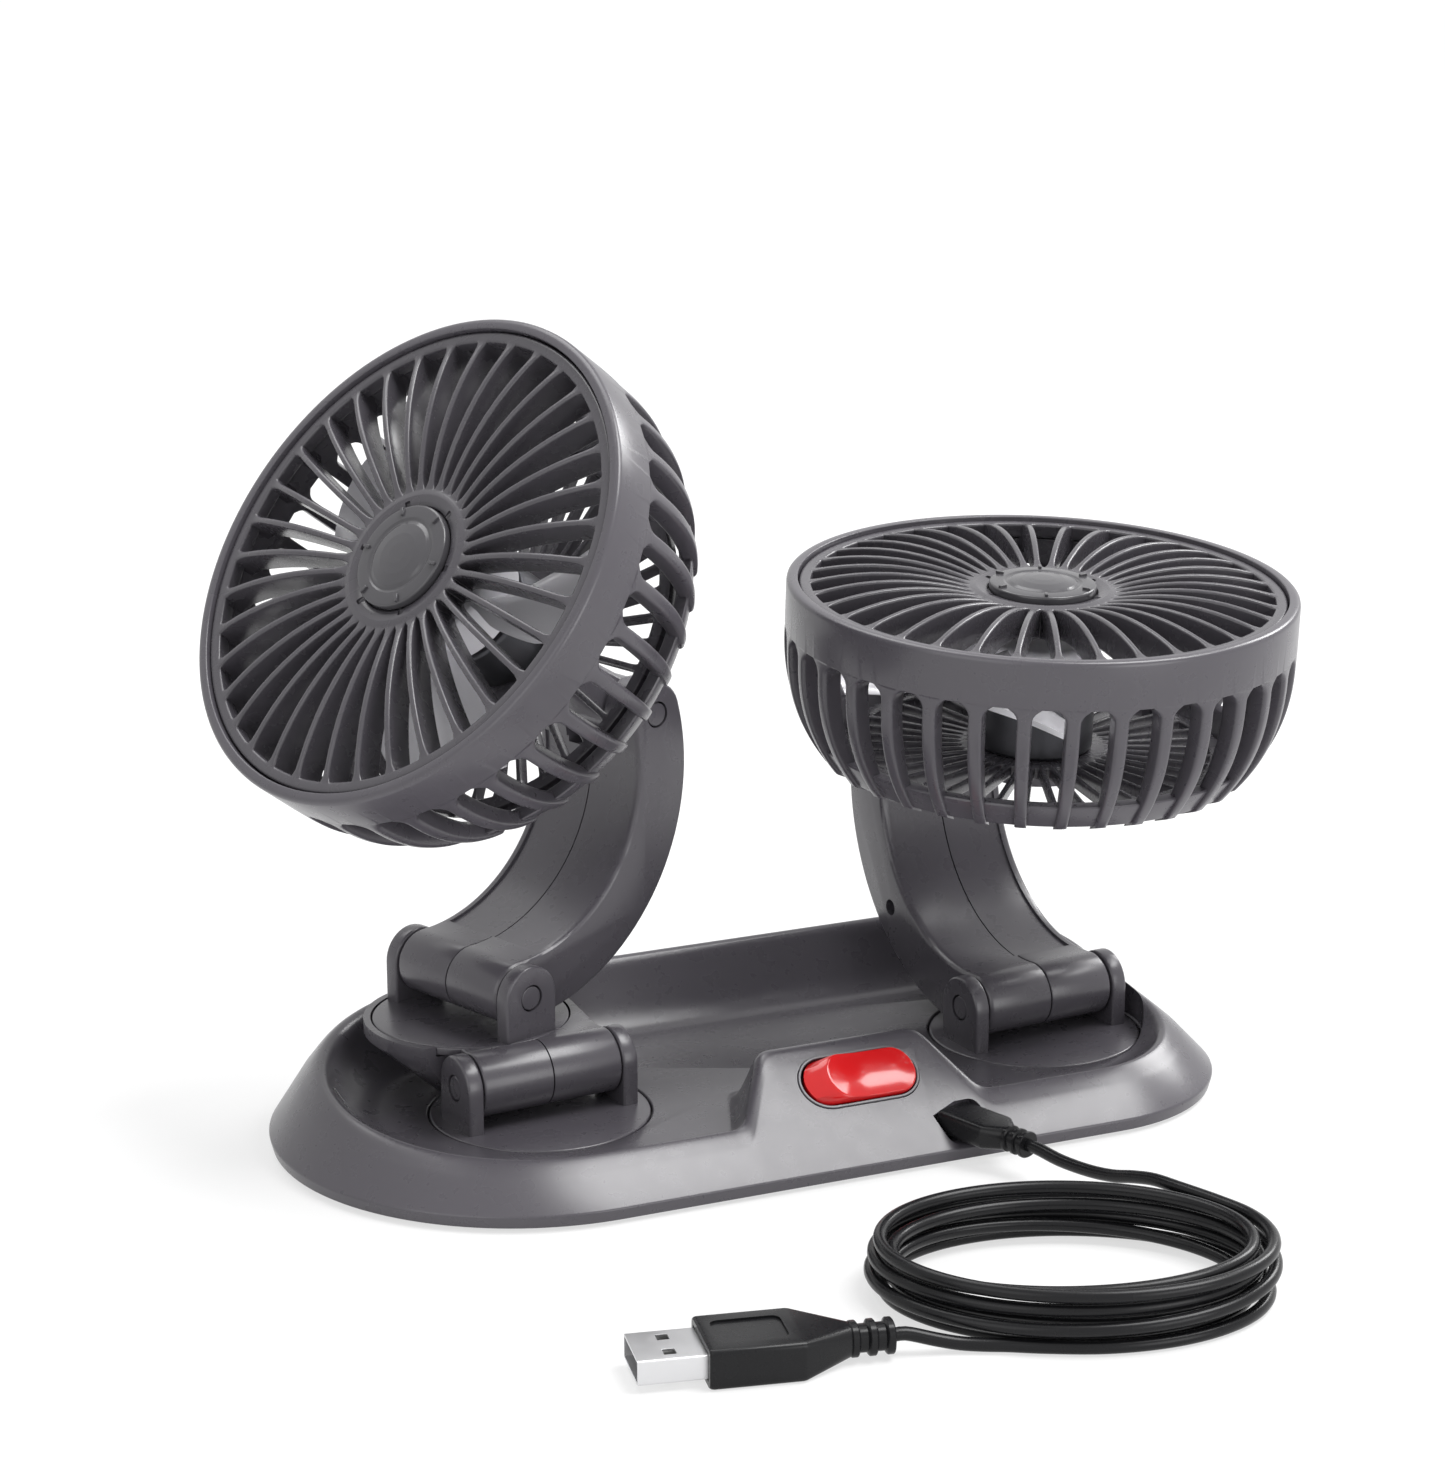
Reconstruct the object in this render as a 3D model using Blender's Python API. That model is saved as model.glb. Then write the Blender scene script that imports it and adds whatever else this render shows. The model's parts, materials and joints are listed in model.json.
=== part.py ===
"""Two-headed dashboard fan: a tray base with two turntables, curved arms and tilting fan heads."""

import math

import bmesh
import bpy
from mathutils import Matrix, Vector
from mathutils.kdtree import KDTree

# All sizes are in metres and all angles in degrees. The origin is the centre of the underside,
# +X runs along the base to the right, +Y to the back and +Z up.

# Running gap between pieces that touch, and how far a cutter runs past what it cuts
GAP = 0.0003
OVERRUN = 0.002

# Base
BASE_LENGTH = 0.1935
BASE_WIDTH = 0.100
RIGHT_CORNER_RADIUS = 0.036
SKIRT_TOP = 0.0031
SKIRT_DRAFT = 0.0006
SHELL_WALL = 0.0024
CREST_INSET = 0.0092
FRONT_CREST_HEIGHT = 0.0108
BACK_CREST_HEIGHT = 0.0205
CREST_RISE_POWER = 1.3
CREST_RADIUS = 0.0026
FLOOR_HEIGHT = 0.0070
FLOOR_THICKNESS = 0.0032
DISH_RUN = 0.006
DISH_RUN_PER_HEIGHT = 0.75
FRONT_SLOPE = 40.0

# Switch boss in the front wall
BOSS_CENTRE_X = 0.0085
BOSS_TOP_LENGTH = 0.029
BOSS_FLANK = 0.0115
BOSS_HEIGHT = 0.0212

# Pad, cover and its screws
PAD_THICKNESS = 0.0008
PAD_INSET = 0.013
COVER_THICKNESS = 0.0011
SCREW_INSET = 0.0102
SCREW_HEAD_RADIUS = 0.0026
SCREW_HEAD_HEIGHT = 0.0008
SCREW_RADIUS = 0.0012
SCREW_LENGTH = 0.0042
SCREW_WALL = 0.0022

# Turntables and their clevises
LEFT_TURNTABLE_X = -0.0455
RIGHT_TURNTABLE_X = 0.0647
TURNTABLE_Y = -0.0058
TURNTABLE_YAW = 5.0
TURNTABLE_RADIUS = 0.0217
DISC_THICKNESS = 0.0017
STUB_RADIUS = 0.0060
RETAINER_RADIUS = 0.0090
RETAINER_THICKNESS = 0.0010
CLEVIS_WIDTH = 0.0370
EAR_THICKNESS = 0.0033
EAR_DEPTH = 0.0128
PIN_HEIGHT = 0.0080
PIN_RADIUS = 0.0024

# Link of the left head, with the second turntable that it carries
LINK_REACH_Y = 0.0212
LINK_REACH_X = -0.0045
SWIVEL_YAW = -70.5
SWIVEL_RADIUS = 0.0196
SWIVEL_STUB_RADIUS = 0.0045
LINK_PLATE_THICKNESS = 0.0019
LINK_WEDGE_LENGTH = 0.0140

# Arms
ARM_CHORD = 0.062
ARM_SAG = 0.0155
ARM_SEAM = 0.0003
FORK_WIDTH = 0.0130
FORK_RADIUS = 0.0100
ARM_EDGE_BEVEL = 0.0008
ARM_SCREW_HOLE_RADIUS = 0.0017
ARM_SCREW_HOLE_DEPTH = 0.0050
LEFT_ARM_ANGLE = 53.0
RIGHT_ARM_ANGLE = 46.0

# Heads: heights are measured back from the plane of the front rim
HEAD_RADIUS = 0.0515
HEAD_DEPTH = 0.0365
RIM_BEVEL = 0.0008
BAND_DEPTH = 0.0098
SLOT_CORNER = 0.0020
REAR_RADIUS = 0.0430
RIB_COUNT = 34
RIB_WIDTH = 0.0029
RIB_DEPTH = 0.0042
GRILLE_SEAT_RADIUS = 0.0492
GRILLE_SEAT_DEPTH = 0.0042
GRILLE_RING_WIDTH = 0.0024
VANE_COUNT = 36
VANE_WIDTH = 0.0013
VANE_DEPTH = 0.0062
VANE_BOW = 0.0022
HUB_RADIUS = 0.0150
HUB_CAP_RADIUS = 0.0108
HUB_CAP_DEPTH = 0.0020
REAR_BAR_COUNT = 20
REAR_BAR_WIDTH = 0.0018
REAR_BAR_DEPTH = 0.0026
REAR_RING_WIDTH = 0.0028
REAR_HUB_RADIUS = 0.0150
MOTOR_RADIUS = 0.0118
MOTOR_LENGTH = 0.0120
SHAFT_RADIUS = 0.0011
IMPELLER_RADIUS = 0.0430
IMPELLER_HUB_RADIUS = 0.0125
IMPELLER_HUB_LENGTH = 0.0095
BLADE_COUNT = 5
BLADE_THICKNESS = 0.0012
BLADE_SPAN = 0.0088
BLADE_SWEEP = 46.0
HUB_CLEARANCE = 0.0012

# Brackets between the arms and the heads
LEFT_STANDOFF = 0.0285
LEFT_OFFSET = 0.0
RIGHT_STANDOFF = 0.0082
RIGHT_OFFSET = 0.0400
LEFT_HEAD_TILT = 53.7
RIGHT_HEAD_TILT = 3.5
KNUCKLE_RADIUS = 0.0058
STEM_THICKNESS = 0.0046
FLANGE_RADIUS = 0.0120
FLANGE_THICKNESS = 0.0024

# Switch
ROCKER_X = 0.0094
ROCKER_UP_SLOPE = 0.0191
ROCKER_LENGTH = 0.0238
ROCKER_WIDTH = 0.0100
ROCKER_DEPTH = 0.0050
ROCKER_STAND = 0.0012
ROCKER_ANGLE = 5.0
BEZEL_WALL = 0.0006
SWITCH_DEPTH = 0.0085
SWITCH_FLOOR = 0.0010

# Inlet, its board and the inlet plug
INLET_X = 0.02635
INLET_SET_BACK = 0.0076
INLET_HEIGHT = 0.0069
INLET_YAW = 18.0
INLET_BLOCK_LENGTH = 0.0055
INLET_PLUG_WIDTH = 0.0090
INLET_PLUG_THICKNESS = 0.0048
INLET_PLUG_LENGTH = 0.0120
INLET_SHOULDER = 0.0030
RELIEF_RADIUS = 0.0025
INLET_RELIEF_LENGTH = 0.0055
BOARD_THICKNESS = 0.0011
BOARD_LENGTH = 0.046
BOARD_WIDTH = 0.024

# Cord and its coil
CORD_DIAMETER = 0.0025
CORD_REST_GAP = 0.0001
COIL_CENTRE_X = 0.0140
COIL_CENTRE_Y = -0.1115
COIL_LONG_RADIUS = 0.0365
COIL_SHORT_RADIUS = 0.0270
COIL_TURN_ANGLE = -24.6
COIL_PITCH = 0.0036
COIL_LAYER_PITCH = 0.00297
COIL_LAYERS = 4
COIL_WHOLE_TURNS = 6
COIL_START = 40.0
COIL_END = -100.0
POINTS_PER_LOOP = 24

# USB plug at the far end
USB_X = -0.0271
USB_Y = -0.1222
USB_YAW = 168.0
USB_BODY_WIDTH = 0.0158
USB_BODY_THICKNESS = 0.0074
USB_BODY_LENGTH = 0.0170
USB_TAPER_LENGTH = 0.0090
USB_RELIEF_LENGTH = 0.0080
USB_RELIEF_RADIUS = 0.0031
USB_SHELL_WIDTH = 0.0120
USB_SHELL_THICKNESS = 0.0045
USB_SHELL_LENGTH = 0.0122
USB_SHELL_WALL = 0.0004
USB_SHELL_BURIED = 0.0030
USB_TONGUE_THICKNESS = 0.0018
USB_WINDOW = 0.0022

# Derived places, heights and radii
LEFT_END_RADIUS = BASE_WIDTH / 2
INLET_Y = INLET_SET_BACK - BASE_WIDTH / 2
BARREL_RADIUS = EAR_DEPTH / 2
BARREL_LENGTH = CLEVIS_WIDTH - 2 * EAR_THICKNESS - 2 * GAP
COVER_TOP = PAD_THICKNESS + COVER_THICKNESS
RECESS_FLOOR = FLOOR_HEIGHT - DISC_THICKNESS - GAP
FLOOR_UNDERSIDE = FLOOR_HEIGHT - FLOOR_THICKNESS
PIN_LEVEL = FLOOR_HEIGHT + PIN_HEIGHT
LINK_TOP = PIN_LEVEL + BARREL_RADIUS - GAP
CORD_RADIUS = CORD_DIAMETER / 2
CORD_REST = CORD_RADIUS + CORD_REST_GAP
UP = Vector((0, 0, 1))


def wipe_scene():
    for old in list(bpy.data.objects):
        bpy.data.objects.remove(old, do_unlink=True)


def material(name, colour, roughness, metallic=0.0):
    """A Principled material in linear colour values."""
    made = bpy.data.materials.new(name)
    made.use_nodes = True
    shader = made.node_tree.nodes["Principled BSDF"]
    shader.inputs["Base Color"].default_value = (*colour, 1)
    shader.inputs["Roughness"].default_value = roughness
    shader.inputs["Metallic"].default_value = metallic
    made.diffuse_color = (*colour, 1)
    return made


def axis_empty(name, place, turn_axis="Z", angle=0.0, parent=None):
    """An empty that carries what turns about one joint; place is in the parent's own frame."""
    empty = bpy.data.objects.new(name, None)
    bpy.context.scene.collection.objects.link(empty)
    empty.empty_display_size = PIN_HEIGHT
    empty.parent = parent
    empty.matrix_local = Matrix.Translation(place) @ Matrix.Rotation(math.radians(angle), 4, turn_axis)
    return empty


def add_object(name, shape, colour=None, parent=None, sharp=35.0):
    """Turns a bmesh into a named object under its parent, shaded smooth with sharp edges kept."""
    mesh = bpy.data.meshes.new(name)
    bmesh.ops.recalc_face_normals(shape, faces=shape.faces)
    shape.to_mesh(mesh)
    shape.free()
    made = bpy.data.objects.new(name, mesh)
    bpy.context.scene.collection.objects.link(made)
    made.parent = parent
    mesh.shade_smooth()
    mesh.set_sharp_from_angle(angle=math.radians(sharp))
    if colour:
        mesh.materials.append(colour)
    return made


def cutter(name, shape, parent=None):
    """A hidden solid that only shapes another piece."""
    tool = add_object(name, shape, parent=parent)
    tool.hide_render = True
    tool.display_type = "WIRE"
    return tool


def boolean(target, tool, operation="DIFFERENCE"):
    step = target.modifiers.new(operation.title(), "BOOLEAN")
    step.operation = operation
    step.solver = "EXACT"
    step.object = tool


def rings_to_solid(rings, close_ends=True):
    """A solid skinned over rings of equal length, with flat ends or joined into a closed hoop."""
    shape = bmesh.new()
    rows = [[shape.verts.new(point) for point in ring] for ring in rings]
    count = len(rows[0])
    pairs = list(zip(rows, rows[1:])) if close_ends else list(zip(rows, rows[1:] + rows[:1]))
    for low, high in pairs:
        for i in range(count):
            j = (i + 1) % count
            shape.faces.new((low[i], low[j], high[j], high[i]))
    if close_ends:
        shape.faces.new(reversed(rows[0]))
        shape.faces.new(rows[-1])
    return shape


def prism(outline, low, high, axis="Z"):
    """An outline of (a, b) points run from low to high along an axis; along X the outline is (y, z)."""
    if axis == "X":
        rings = [[Vector((level, a, b)) for a, b in outline] for level in (low, high)]
    else:
        rings = [[Vector((a, b, level)) for a, b in outline] for level in (low, high)]
    return rings_to_solid(rings)


def cylinder(radius, low, high, axis="Z", centre=(0, 0), sides=32):
    x, y = centre
    points = [(x + radius * math.cos(t), y + radius * math.sin(t)) for t in circle_steps(sides)]
    return prism(points, low, high, axis)


def circle_steps(sides):
    return [2 * math.pi * i / sides for i in range(sides)]


def turned(profile, sides):
    """A profile of (radius, height) points turned about Z; its first and last radius may be zero."""
    rings = []
    for radius, height in profile:
        rings.append([Vector((radius * math.cos(t), radius * math.sin(t), height))
                      for t in circle_steps(sides)])
    return rings_to_solid(rings)


def stadium(length, width, arc_steps=8):
    """Outline of a slot shape along X, anticlockwise."""
    radius = width / 2
    reach = length / 2 - radius
    points = []
    for side, first in ((1, -90), (-1, 90)):
        for i in range(arc_steps + 1):
            t = math.radians(first + 180 * i / arc_steps)
            points.append((side * reach + radius * math.cos(t), radius * math.sin(t)))
    return points


def box(low, high):
    """A block between two corners."""
    outline = [(low[0], low[1]), (high[0], low[1]), (high[0], high[1]), (low[0], high[1])]
    return prism(outline, low[2], high[2])


def smooth_step(value):
    value = min(max(value, 0.0), 1.0)
    return value * value * (3 - 2 * value)


# Base

CAP_STEPS = 13
CORNER_STEPS = 6
BACK_STEPS = 4
FRONT_SIDE_STEPS = 3
FLANK_STEPS = 5
BOSS_TOP_STEPS = 2
DISH_SHARES = ((0.16, 0.10), (0.36, 0.42), (0.62, 0.80), (1.0, 1.0))


def spaced(first, last, steps):
    return [first + (last - first) * i / steps for i in range(steps)]


def base_stations():
    """Places round the base's edge, anticlockwise from the front left, each with its outward direction."""
    half_width = BASE_WIDTH / 2
    left_x = LEFT_END_RADIUS - BASE_LENGTH / 2
    right_x = BASE_LENGTH / 2 - RIGHT_CORNER_RADIUS
    corner_y = half_width - RIGHT_CORNER_RADIUS
    boss_half = BOSS_TOP_LENGTH / 2
    marks = [BOSS_CENTRE_X - boss_half - BOSS_FLANK, BOSS_CENTRE_X - boss_half]
    marks += [BOSS_CENTRE_X + boss_half, BOSS_CENTRE_X + boss_half + BOSS_FLANK]
    front = spaced(left_x, marks[0], FRONT_SIDE_STEPS) + spaced(marks[0], marks[1], FLANK_STEPS)
    front += spaced(marks[1], marks[2], BOSS_TOP_STEPS) + spaced(marks[2], marks[3], FLANK_STEPS)
    front += spaced(marks[3], right_x, FRONT_SIDE_STEPS)
    stations = [((x, -half_width), (0, -1)) for x in front]
    for centre_y, first in ((-corner_y, -90), (corner_y, 0)):
        for angle in spaced(first, first + 90, CORNER_STEPS) + [first + 90]:
            c, s = math.cos(math.radians(angle)), math.sin(math.radians(angle))
            place = (right_x + RIGHT_CORNER_RADIUS * c, centre_y + RIGHT_CORNER_RADIUS * s)
            stations.append((place, (c, s)))
    stations += [((x, half_width), (0, 1)) for x in spaced(right_x, left_x, BACK_STEPS)[1:]]
    for angle in spaced(90, 270, CAP_STEPS):
        c, s = math.cos(math.radians(angle)), math.sin(math.radians(angle))
        stations.append(((left_x + LEFT_END_RADIUS * c, LEFT_END_RADIUS * s), (c, s)))
    return stations


def boss_share(x, outward):
    """How far the switch boss has risen at a place on the front wall, from 0 to 1."""
    if outward[1] > -0.999:
        return 0.0
    past_top = abs(x - BOSS_CENTRE_X) - BOSS_TOP_LENGTH / 2
    return 1.0 - smooth_step(past_top / BOSS_FLANK)


def crest(place, outward):
    """Height and inset of the wall's crest, which climbs to the back and over the boss."""
    depth_share = (place[1] + BASE_WIDTH / 2) / BASE_WIDTH
    height = FRONT_CREST_HEIGHT + (BACK_CREST_HEIGHT - FRONT_CREST_HEIGHT) * depth_share ** CREST_RISE_POWER
    rise = boss_share(place[0], outward) * (BOSS_HEIGHT - height)
    return height + rise, CREST_INSET + rise / math.tan(math.radians(FRONT_SLOPE))


def outer_profile(place, outward):
    """(inset, height) points of the base's outside, from the skirt over the crest to the tray floor."""
    height, inset = crest(place, outward)
    slope = (height - SKIRT_TOP) / inset
    drop = height - FLOOR_HEIGHT
    run = DISH_RUN + DISH_RUN_PER_HEIGHT * drop
    points = [(SKIRT_DRAFT, PAD_THICKNESS), (0.0, SKIRT_TOP)]
    points.append((inset - CREST_RADIUS, height - slope * CREST_RADIUS))
    points.append((inset, height - CREST_RADIUS * slope / 4))
    for run_share, drop_share in DISH_SHARES:
        points.append((inset + run * run_share, height - drop * drop_share))
    return points


def base_rings(profile):
    columns = []
    for place, outward in base_stations():
        column = [(place[0] - outward[0] * inset, place[1] - outward[1] * inset, height)
                  for inset, height in profile(place, outward)]
        columns.append(column)
    return [[Vector(column[row]) for column in columns] for row in range(len(columns[0]))]


def inset_outline(inset, skip=2):
    """The base's edge moved inwards, with fewer points."""
    return [(place[0] - outward[0] * inset, place[1] - outward[1] * inset)
            for place, outward in base_stations()[::skip]]


def screw_places():
    """Four places under the crest, two on each side of the turntables' line."""
    half_width = BASE_WIDTH / 2 - SCREW_INSET
    left_x = LEFT_END_RADIUS - BASE_LENGTH / 2
    right_x = BASE_LENGTH / 2 - RIGHT_CORNER_RADIUS
    return [(x, side * half_width) for x in (left_x, right_x) for side in (-1, 1)]


def face_frame():
    """Frame of the sloping front face: X along the base, Y up the slope, Z out of the face."""
    tilt = math.radians(FRONT_SLOPE)
    foot = Vector((0, -BASE_WIDTH / 2, SKIRT_TOP))
    up_slope = Vector((0, math.cos(tilt), math.sin(tilt)))
    centre = foot + up_slope * ROCKER_UP_SLOPE + Vector((ROCKER_X, 0, 0))
    return Matrix.Translation(centre) @ Matrix.Rotation(tilt, 4, "X")


def inlet_frame():
    """Frame of the inlet: its Y runs into the base, so the plug leaves along -Y."""
    place = Vector((INLET_X, INLET_Y, INLET_HEIGHT))
    return Matrix.Translation(place) @ Matrix.Rotation(math.radians(INLET_YAW), 4, "Z")


def inlet_block_corners():
    """Corners of the inlet socket in its own frame: it stands on the board, behind the plug's nose."""
    low = COVER_TOP + GAP + BOARD_THICKNESS + GAP - INLET_HEIGHT
    high = (INLET_PLUG_THICKNESS - SHELL_WALL) / 2
    return (-INLET_PLUG_WIDTH / 2, GAP, low), (INLET_PLUG_WIDTH / 2, GAP + INLET_BLOCK_LENGTH, high)


def board_corners():
    """Corners of the control board, which lies on the cover and carries the inlet socket."""
    low = (ROCKER_X - BOARD_LENGTH / 2, INLET_Y + GAP, COVER_TOP + GAP)
    return low, (low[0] + BOARD_LENGTH, low[1] + BOARD_WIDTH, low[2] + BOARD_THICKNESS)


def build_base(plastic):
    shell = add_object("base_shell", rings_to_solid(base_rings(outer_profile)), plastic)
    boolean(shell, cutter("cover_seat", prism(inset_outline(SHELL_WALL, skip=1), -OVERRUN, COVER_TOP + GAP)))
    hollow = prism(inset_outline(SCREW_INSET + SCREW_WALL, skip=1), 0, FLOOR_UNDERSIDE)
    boolean(shell, cutter("base_hollow", hollow))
    low, high = board_corners()
    room_low = (low[0] - GAP, low[1] - GAP, 0)
    boolean(shell, cutter("board_room", box(room_low, (high[0] + GAP, high[1] + GAP, high[2] + GAP))))
    for index, (x, y) in enumerate(screw_places()):
        bore = cylinder(SCREW_RADIUS + GAP, 0, PAD_THICKNESS + SCREW_LENGTH + GAP, centre=(x, y), sides=8)
        boolean(shell, cutter(f"screw_bore_{index}", bore))
    for side, x in (("left", LEFT_TURNTABLE_X), ("right", RIGHT_TURNTABLE_X)):
        place = (x, TURNTABLE_Y)
        recess = cylinder(TURNTABLE_RADIUS + GAP, RECESS_FLOOR, BACK_CREST_HEIGHT, centre=place, sides=36)
        boolean(shell, cutter(f"{side}_recess", recess))
        bore = cylinder(STUB_RADIUS + GAP, 0, FLOOR_HEIGHT, centre=place, sides=20)
        boolean(shell, cutter(f"{side}_stub_bore", bore))
    room = 2 * (BEZEL_WALL + 2 * GAP)
    opening = stadium(ROCKER_LENGTH + room + 2 * GAP, ROCKER_WIDTH + room + 2 * GAP)
    window = cutter("switch_window", prism(opening, -SWITCH_DEPTH - GAP, SWITCH_DEPTH))
    window.matrix_world = face_frame()
    boolean(shell, window)
    half = INLET_PLUG_WIDTH / 2 + GAP
    reach = INLET_PLUG_THICKNESS / 2 + GAP
    mouth = cutter("inlet_mouth", box((-half, -INLET_PLUG_LENGTH, -reach), (half, GAP, reach)))
    mouth.matrix_world = inlet_frame()
    boolean(shell, mouth)
    low, high = inlet_block_corners()
    room_low = (low[0] - GAP, 0, low[2] - BOARD_THICKNESS / 2)
    room = cutter("inlet_room", box(room_low, (high[0] + GAP, high[1] + GAP, high[2] + GAP)))
    room.matrix_world = inlet_frame()
    boolean(shell, room)
    return shell


def build_underside(cover_plastic, rubber, steel):
    cover_outline = inset_outline(SHELL_WALL + GAP, skip=1)
    cover = add_object("bottom_cover", prism(cover_outline, PAD_THICKNESS, COVER_TOP), cover_plastic)
    head_low, head_top = PAD_THICKNESS, PAD_THICKNESS + SCREW_HEAD_HEIGHT
    profile = [(SCREW_HEAD_RADIUS, head_low), (SCREW_HEAD_RADIUS, head_top)]
    profile += [(SCREW_RADIUS, head_top), (SCREW_RADIUS, head_low + SCREW_LENGTH)]
    for index, (x, y) in enumerate(screw_places()):
        sink = cylinder(SCREW_HEAD_RADIUS + GAP, 0, head_top + GAP, centre=(x, y), sides=10)
        boolean(cover, cutter(f"cover_sink_{index}", sink))
        bore = cylinder(SCREW_RADIUS + GAP, 0, COVER_TOP + OVERRUN, centre=(x, y), sides=8)
        boolean(cover, cutter(f"cover_bore_{index}", bore))
        screw = add_object(f"cover_screw_{index + 1}", turned(profile, 8), steel)
        screw.location = (x, y, 0)
    add_object("dash_pad", prism(inset_outline(PAD_INSET), 0, PAD_THICKNESS), rubber)


# Turntables, clevises and hinge pins

def ear_outline(foot):
    """Side view (y, z) of an ear about its pin: a round top on straight flanks, cut square at the foot."""
    points = [(-BARREL_RADIUS, foot), (BARREL_RADIUS, foot)]
    for i in range(9):
        t = math.pi * i / 8
        points.append((BARREL_RADIUS * math.cos(t), BARREL_RADIUS * math.sin(t)))
    return points


def build_clevis(name, parent, plastic, disc_radius, stub_radius, stub_depth):
    """A disc with two ears and a stub, about an axis at the disc's centre; z = 0 is the disc's top."""
    disc = cylinder(disc_radius, -DISC_THICKNESS, 0, sides=36)
    body = add_object(name, disc, plastic, parent)
    for side in (-1, 1):
        inner = side * (CLEVIS_WIDTH / 2 - EAR_THICKNESS)
        outer = side * CLEVIS_WIDTH / 2
        ear = prism(ear_outline(-PIN_HEIGHT - DISC_THICKNESS / 2), min(inner, outer), max(inner, outer), "X")
        bmesh.ops.translate(ear, verts=ear.verts, vec=UP * PIN_HEIGHT)
        boolean(body, cutter(f"{name}_ear_{side + 1}", ear, parent), "UNION")
    stub = cylinder(stub_radius, -stub_depth, -DISC_THICKNESS / 2, sides=20)
    boolean(body, cutter(f"{name}_stub", stub, parent), "UNION")
    reach = CLEVIS_WIDTH / 2 + OVERRUN
    bore = cylinder(PIN_RADIUS + GAP, -reach, reach, "X", (0, PIN_HEIGHT), sides=14)
    boolean(body, cutter(f"{name}_pin_bore", bore, parent))
    return body


def build_pin(name, parent, length, height, steel):
    """A hinge pin along X, flush with the ears' outer faces."""
    half = length / 2
    add_object(name, cylinder(PIN_RADIUS, -half, half, "X", (0, height), sides=14), steel, parent)


def build_turntable(side, x, plastic, steel, seat):
    axis = axis_empty(f"{side}_turntable_axis", (x, TURNTABLE_Y, FLOOR_HEIGHT), "Z", TURNTABLE_YAW)
    stub_depth = FLOOR_HEIGHT - FLOOR_UNDERSIDE
    build_clevis(f"{side}_turntable", axis, plastic, TURNTABLE_RADIUS, STUB_RADIUS, stub_depth)
    build_pin(f"{side}_base_pin", axis, CLEVIS_WIDTH, PIN_HEIGHT, seat)
    top = -stub_depth - GAP
    ring = cylinder(RETAINER_RADIUS, top - RETAINER_THICKNESS, top, sides=20)
    add_object(f"{side}_turntable_retainer", ring, steel, axis)
    return axis


def half_space(side):
    """A block that keeps one side of a piece's middle seam."""
    reach = CLEVIS_WIDTH
    near = side * ARM_SEAM / 2
    far = side * reach
    size = ARM_CHORD * 2
    return box((min(near, far), -size, -size), (max(near, far), size, size))


def wedge_outline():
    """Side view of the link between its barrel and the swivel's seat: thick at the barrel, thin behind."""
    top = BARREL_RADIUS - GAP
    low = top - DISC_THICKNESS - GAP - LINK_PLATE_THICKNESS
    return [(0, GAP - BARREL_RADIUS), (LINK_WEDGE_LENGTH, low), (LINK_WEDGE_LENGTH, top), (0, top)]


def build_link(parent, plastic, steel, seat):
    """The left head's link in two halves, and the second turntable that stands on it."""
    axis = axis_empty("left_link_axis", (0, 0, PIN_HEIGHT), parent=parent)
    seat_top = BARREL_RADIUS - GAP - DISC_THICKNESS - GAP
    plate_low = seat_top - LINK_PLATE_THICKNESS
    swivel_place = (LINK_REACH_X, LINK_REACH_Y)
    half = BARREL_LENGTH / 2
    clear_y = BARREL_RADIUS + GAP + GAP
    for side, label in ((-1, "left"), (1, "right")):
        name = f"left_link_{label}_half"
        body = add_object(name, cylinder(BARREL_RADIUS, -half, half, "X", sides=20), plastic, axis)
        wedge = prism(wedge_outline(), -half, half, "X")
        boolean(body, cutter(f"{name}_wedge", wedge, axis), "UNION")
        pad_shape = cylinder(SWIVEL_RADIUS, plate_low, seat_top + GAP, centre=swivel_place, sides=36)
        pad = cutter(f"{name}_pad", pad_shape, axis)
        front = box((-CLEVIS_WIDTH, -CLEVIS_WIDTH, -CLEVIS_WIDTH), (CLEVIS_WIDTH, clear_y, CLEVIS_WIDTH))
        boolean(pad, cutter(f"{name}_pad_front", front, axis))
        boolean(body, pad, "UNION")
        recess = cylinder(SWIVEL_RADIUS + GAP, seat_top, CLEVIS_WIDTH, centre=swivel_place, sides=36)
        boolean(body, cutter(f"{name}_recess", recess, axis))
        bore = cylinder(SWIVEL_STUB_RADIUS + GAP, -CLEVIS_WIDTH, CLEVIS_WIDTH, centre=swivel_place, sides=20)
        boolean(body, cutter(f"{name}_stub_bore", bore, axis))
        pin_bore = cylinder(PIN_RADIUS + GAP, -CLEVIS_WIDTH, CLEVIS_WIDTH, "X", sides=14)
        boolean(body, cutter(f"{name}_pin_bore", pin_bore, axis))
        boolean(body, cutter(f"{name}_side", half_space(side), axis), "INTERSECT")
    swivel_top = seat_top + GAP + DISC_THICKNESS
    turn = SWIVEL_YAW - TURNTABLE_YAW
    swivel = axis_empty("left_swivel_axis", (*swivel_place, swivel_top), "Z", turn, axis)
    stub_depth = swivel_top - plate_low
    build_clevis("left_swivel", swivel, plastic, SWIVEL_RADIUS, SWIVEL_STUB_RADIUS, stub_depth)
    build_pin("left_swivel_pin", swivel, CLEVIS_WIDTH, PIN_HEIGHT, seat)
    top = -stub_depth - GAP
    radius = SWIVEL_STUB_RADIUS * 3 / 2
    ring = cylinder(radius, top - RETAINER_THICKNESS, top, sides=20)
    add_object("left_swivel_retainer", ring, steel, swivel)
    return swivel


# Arms

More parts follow.
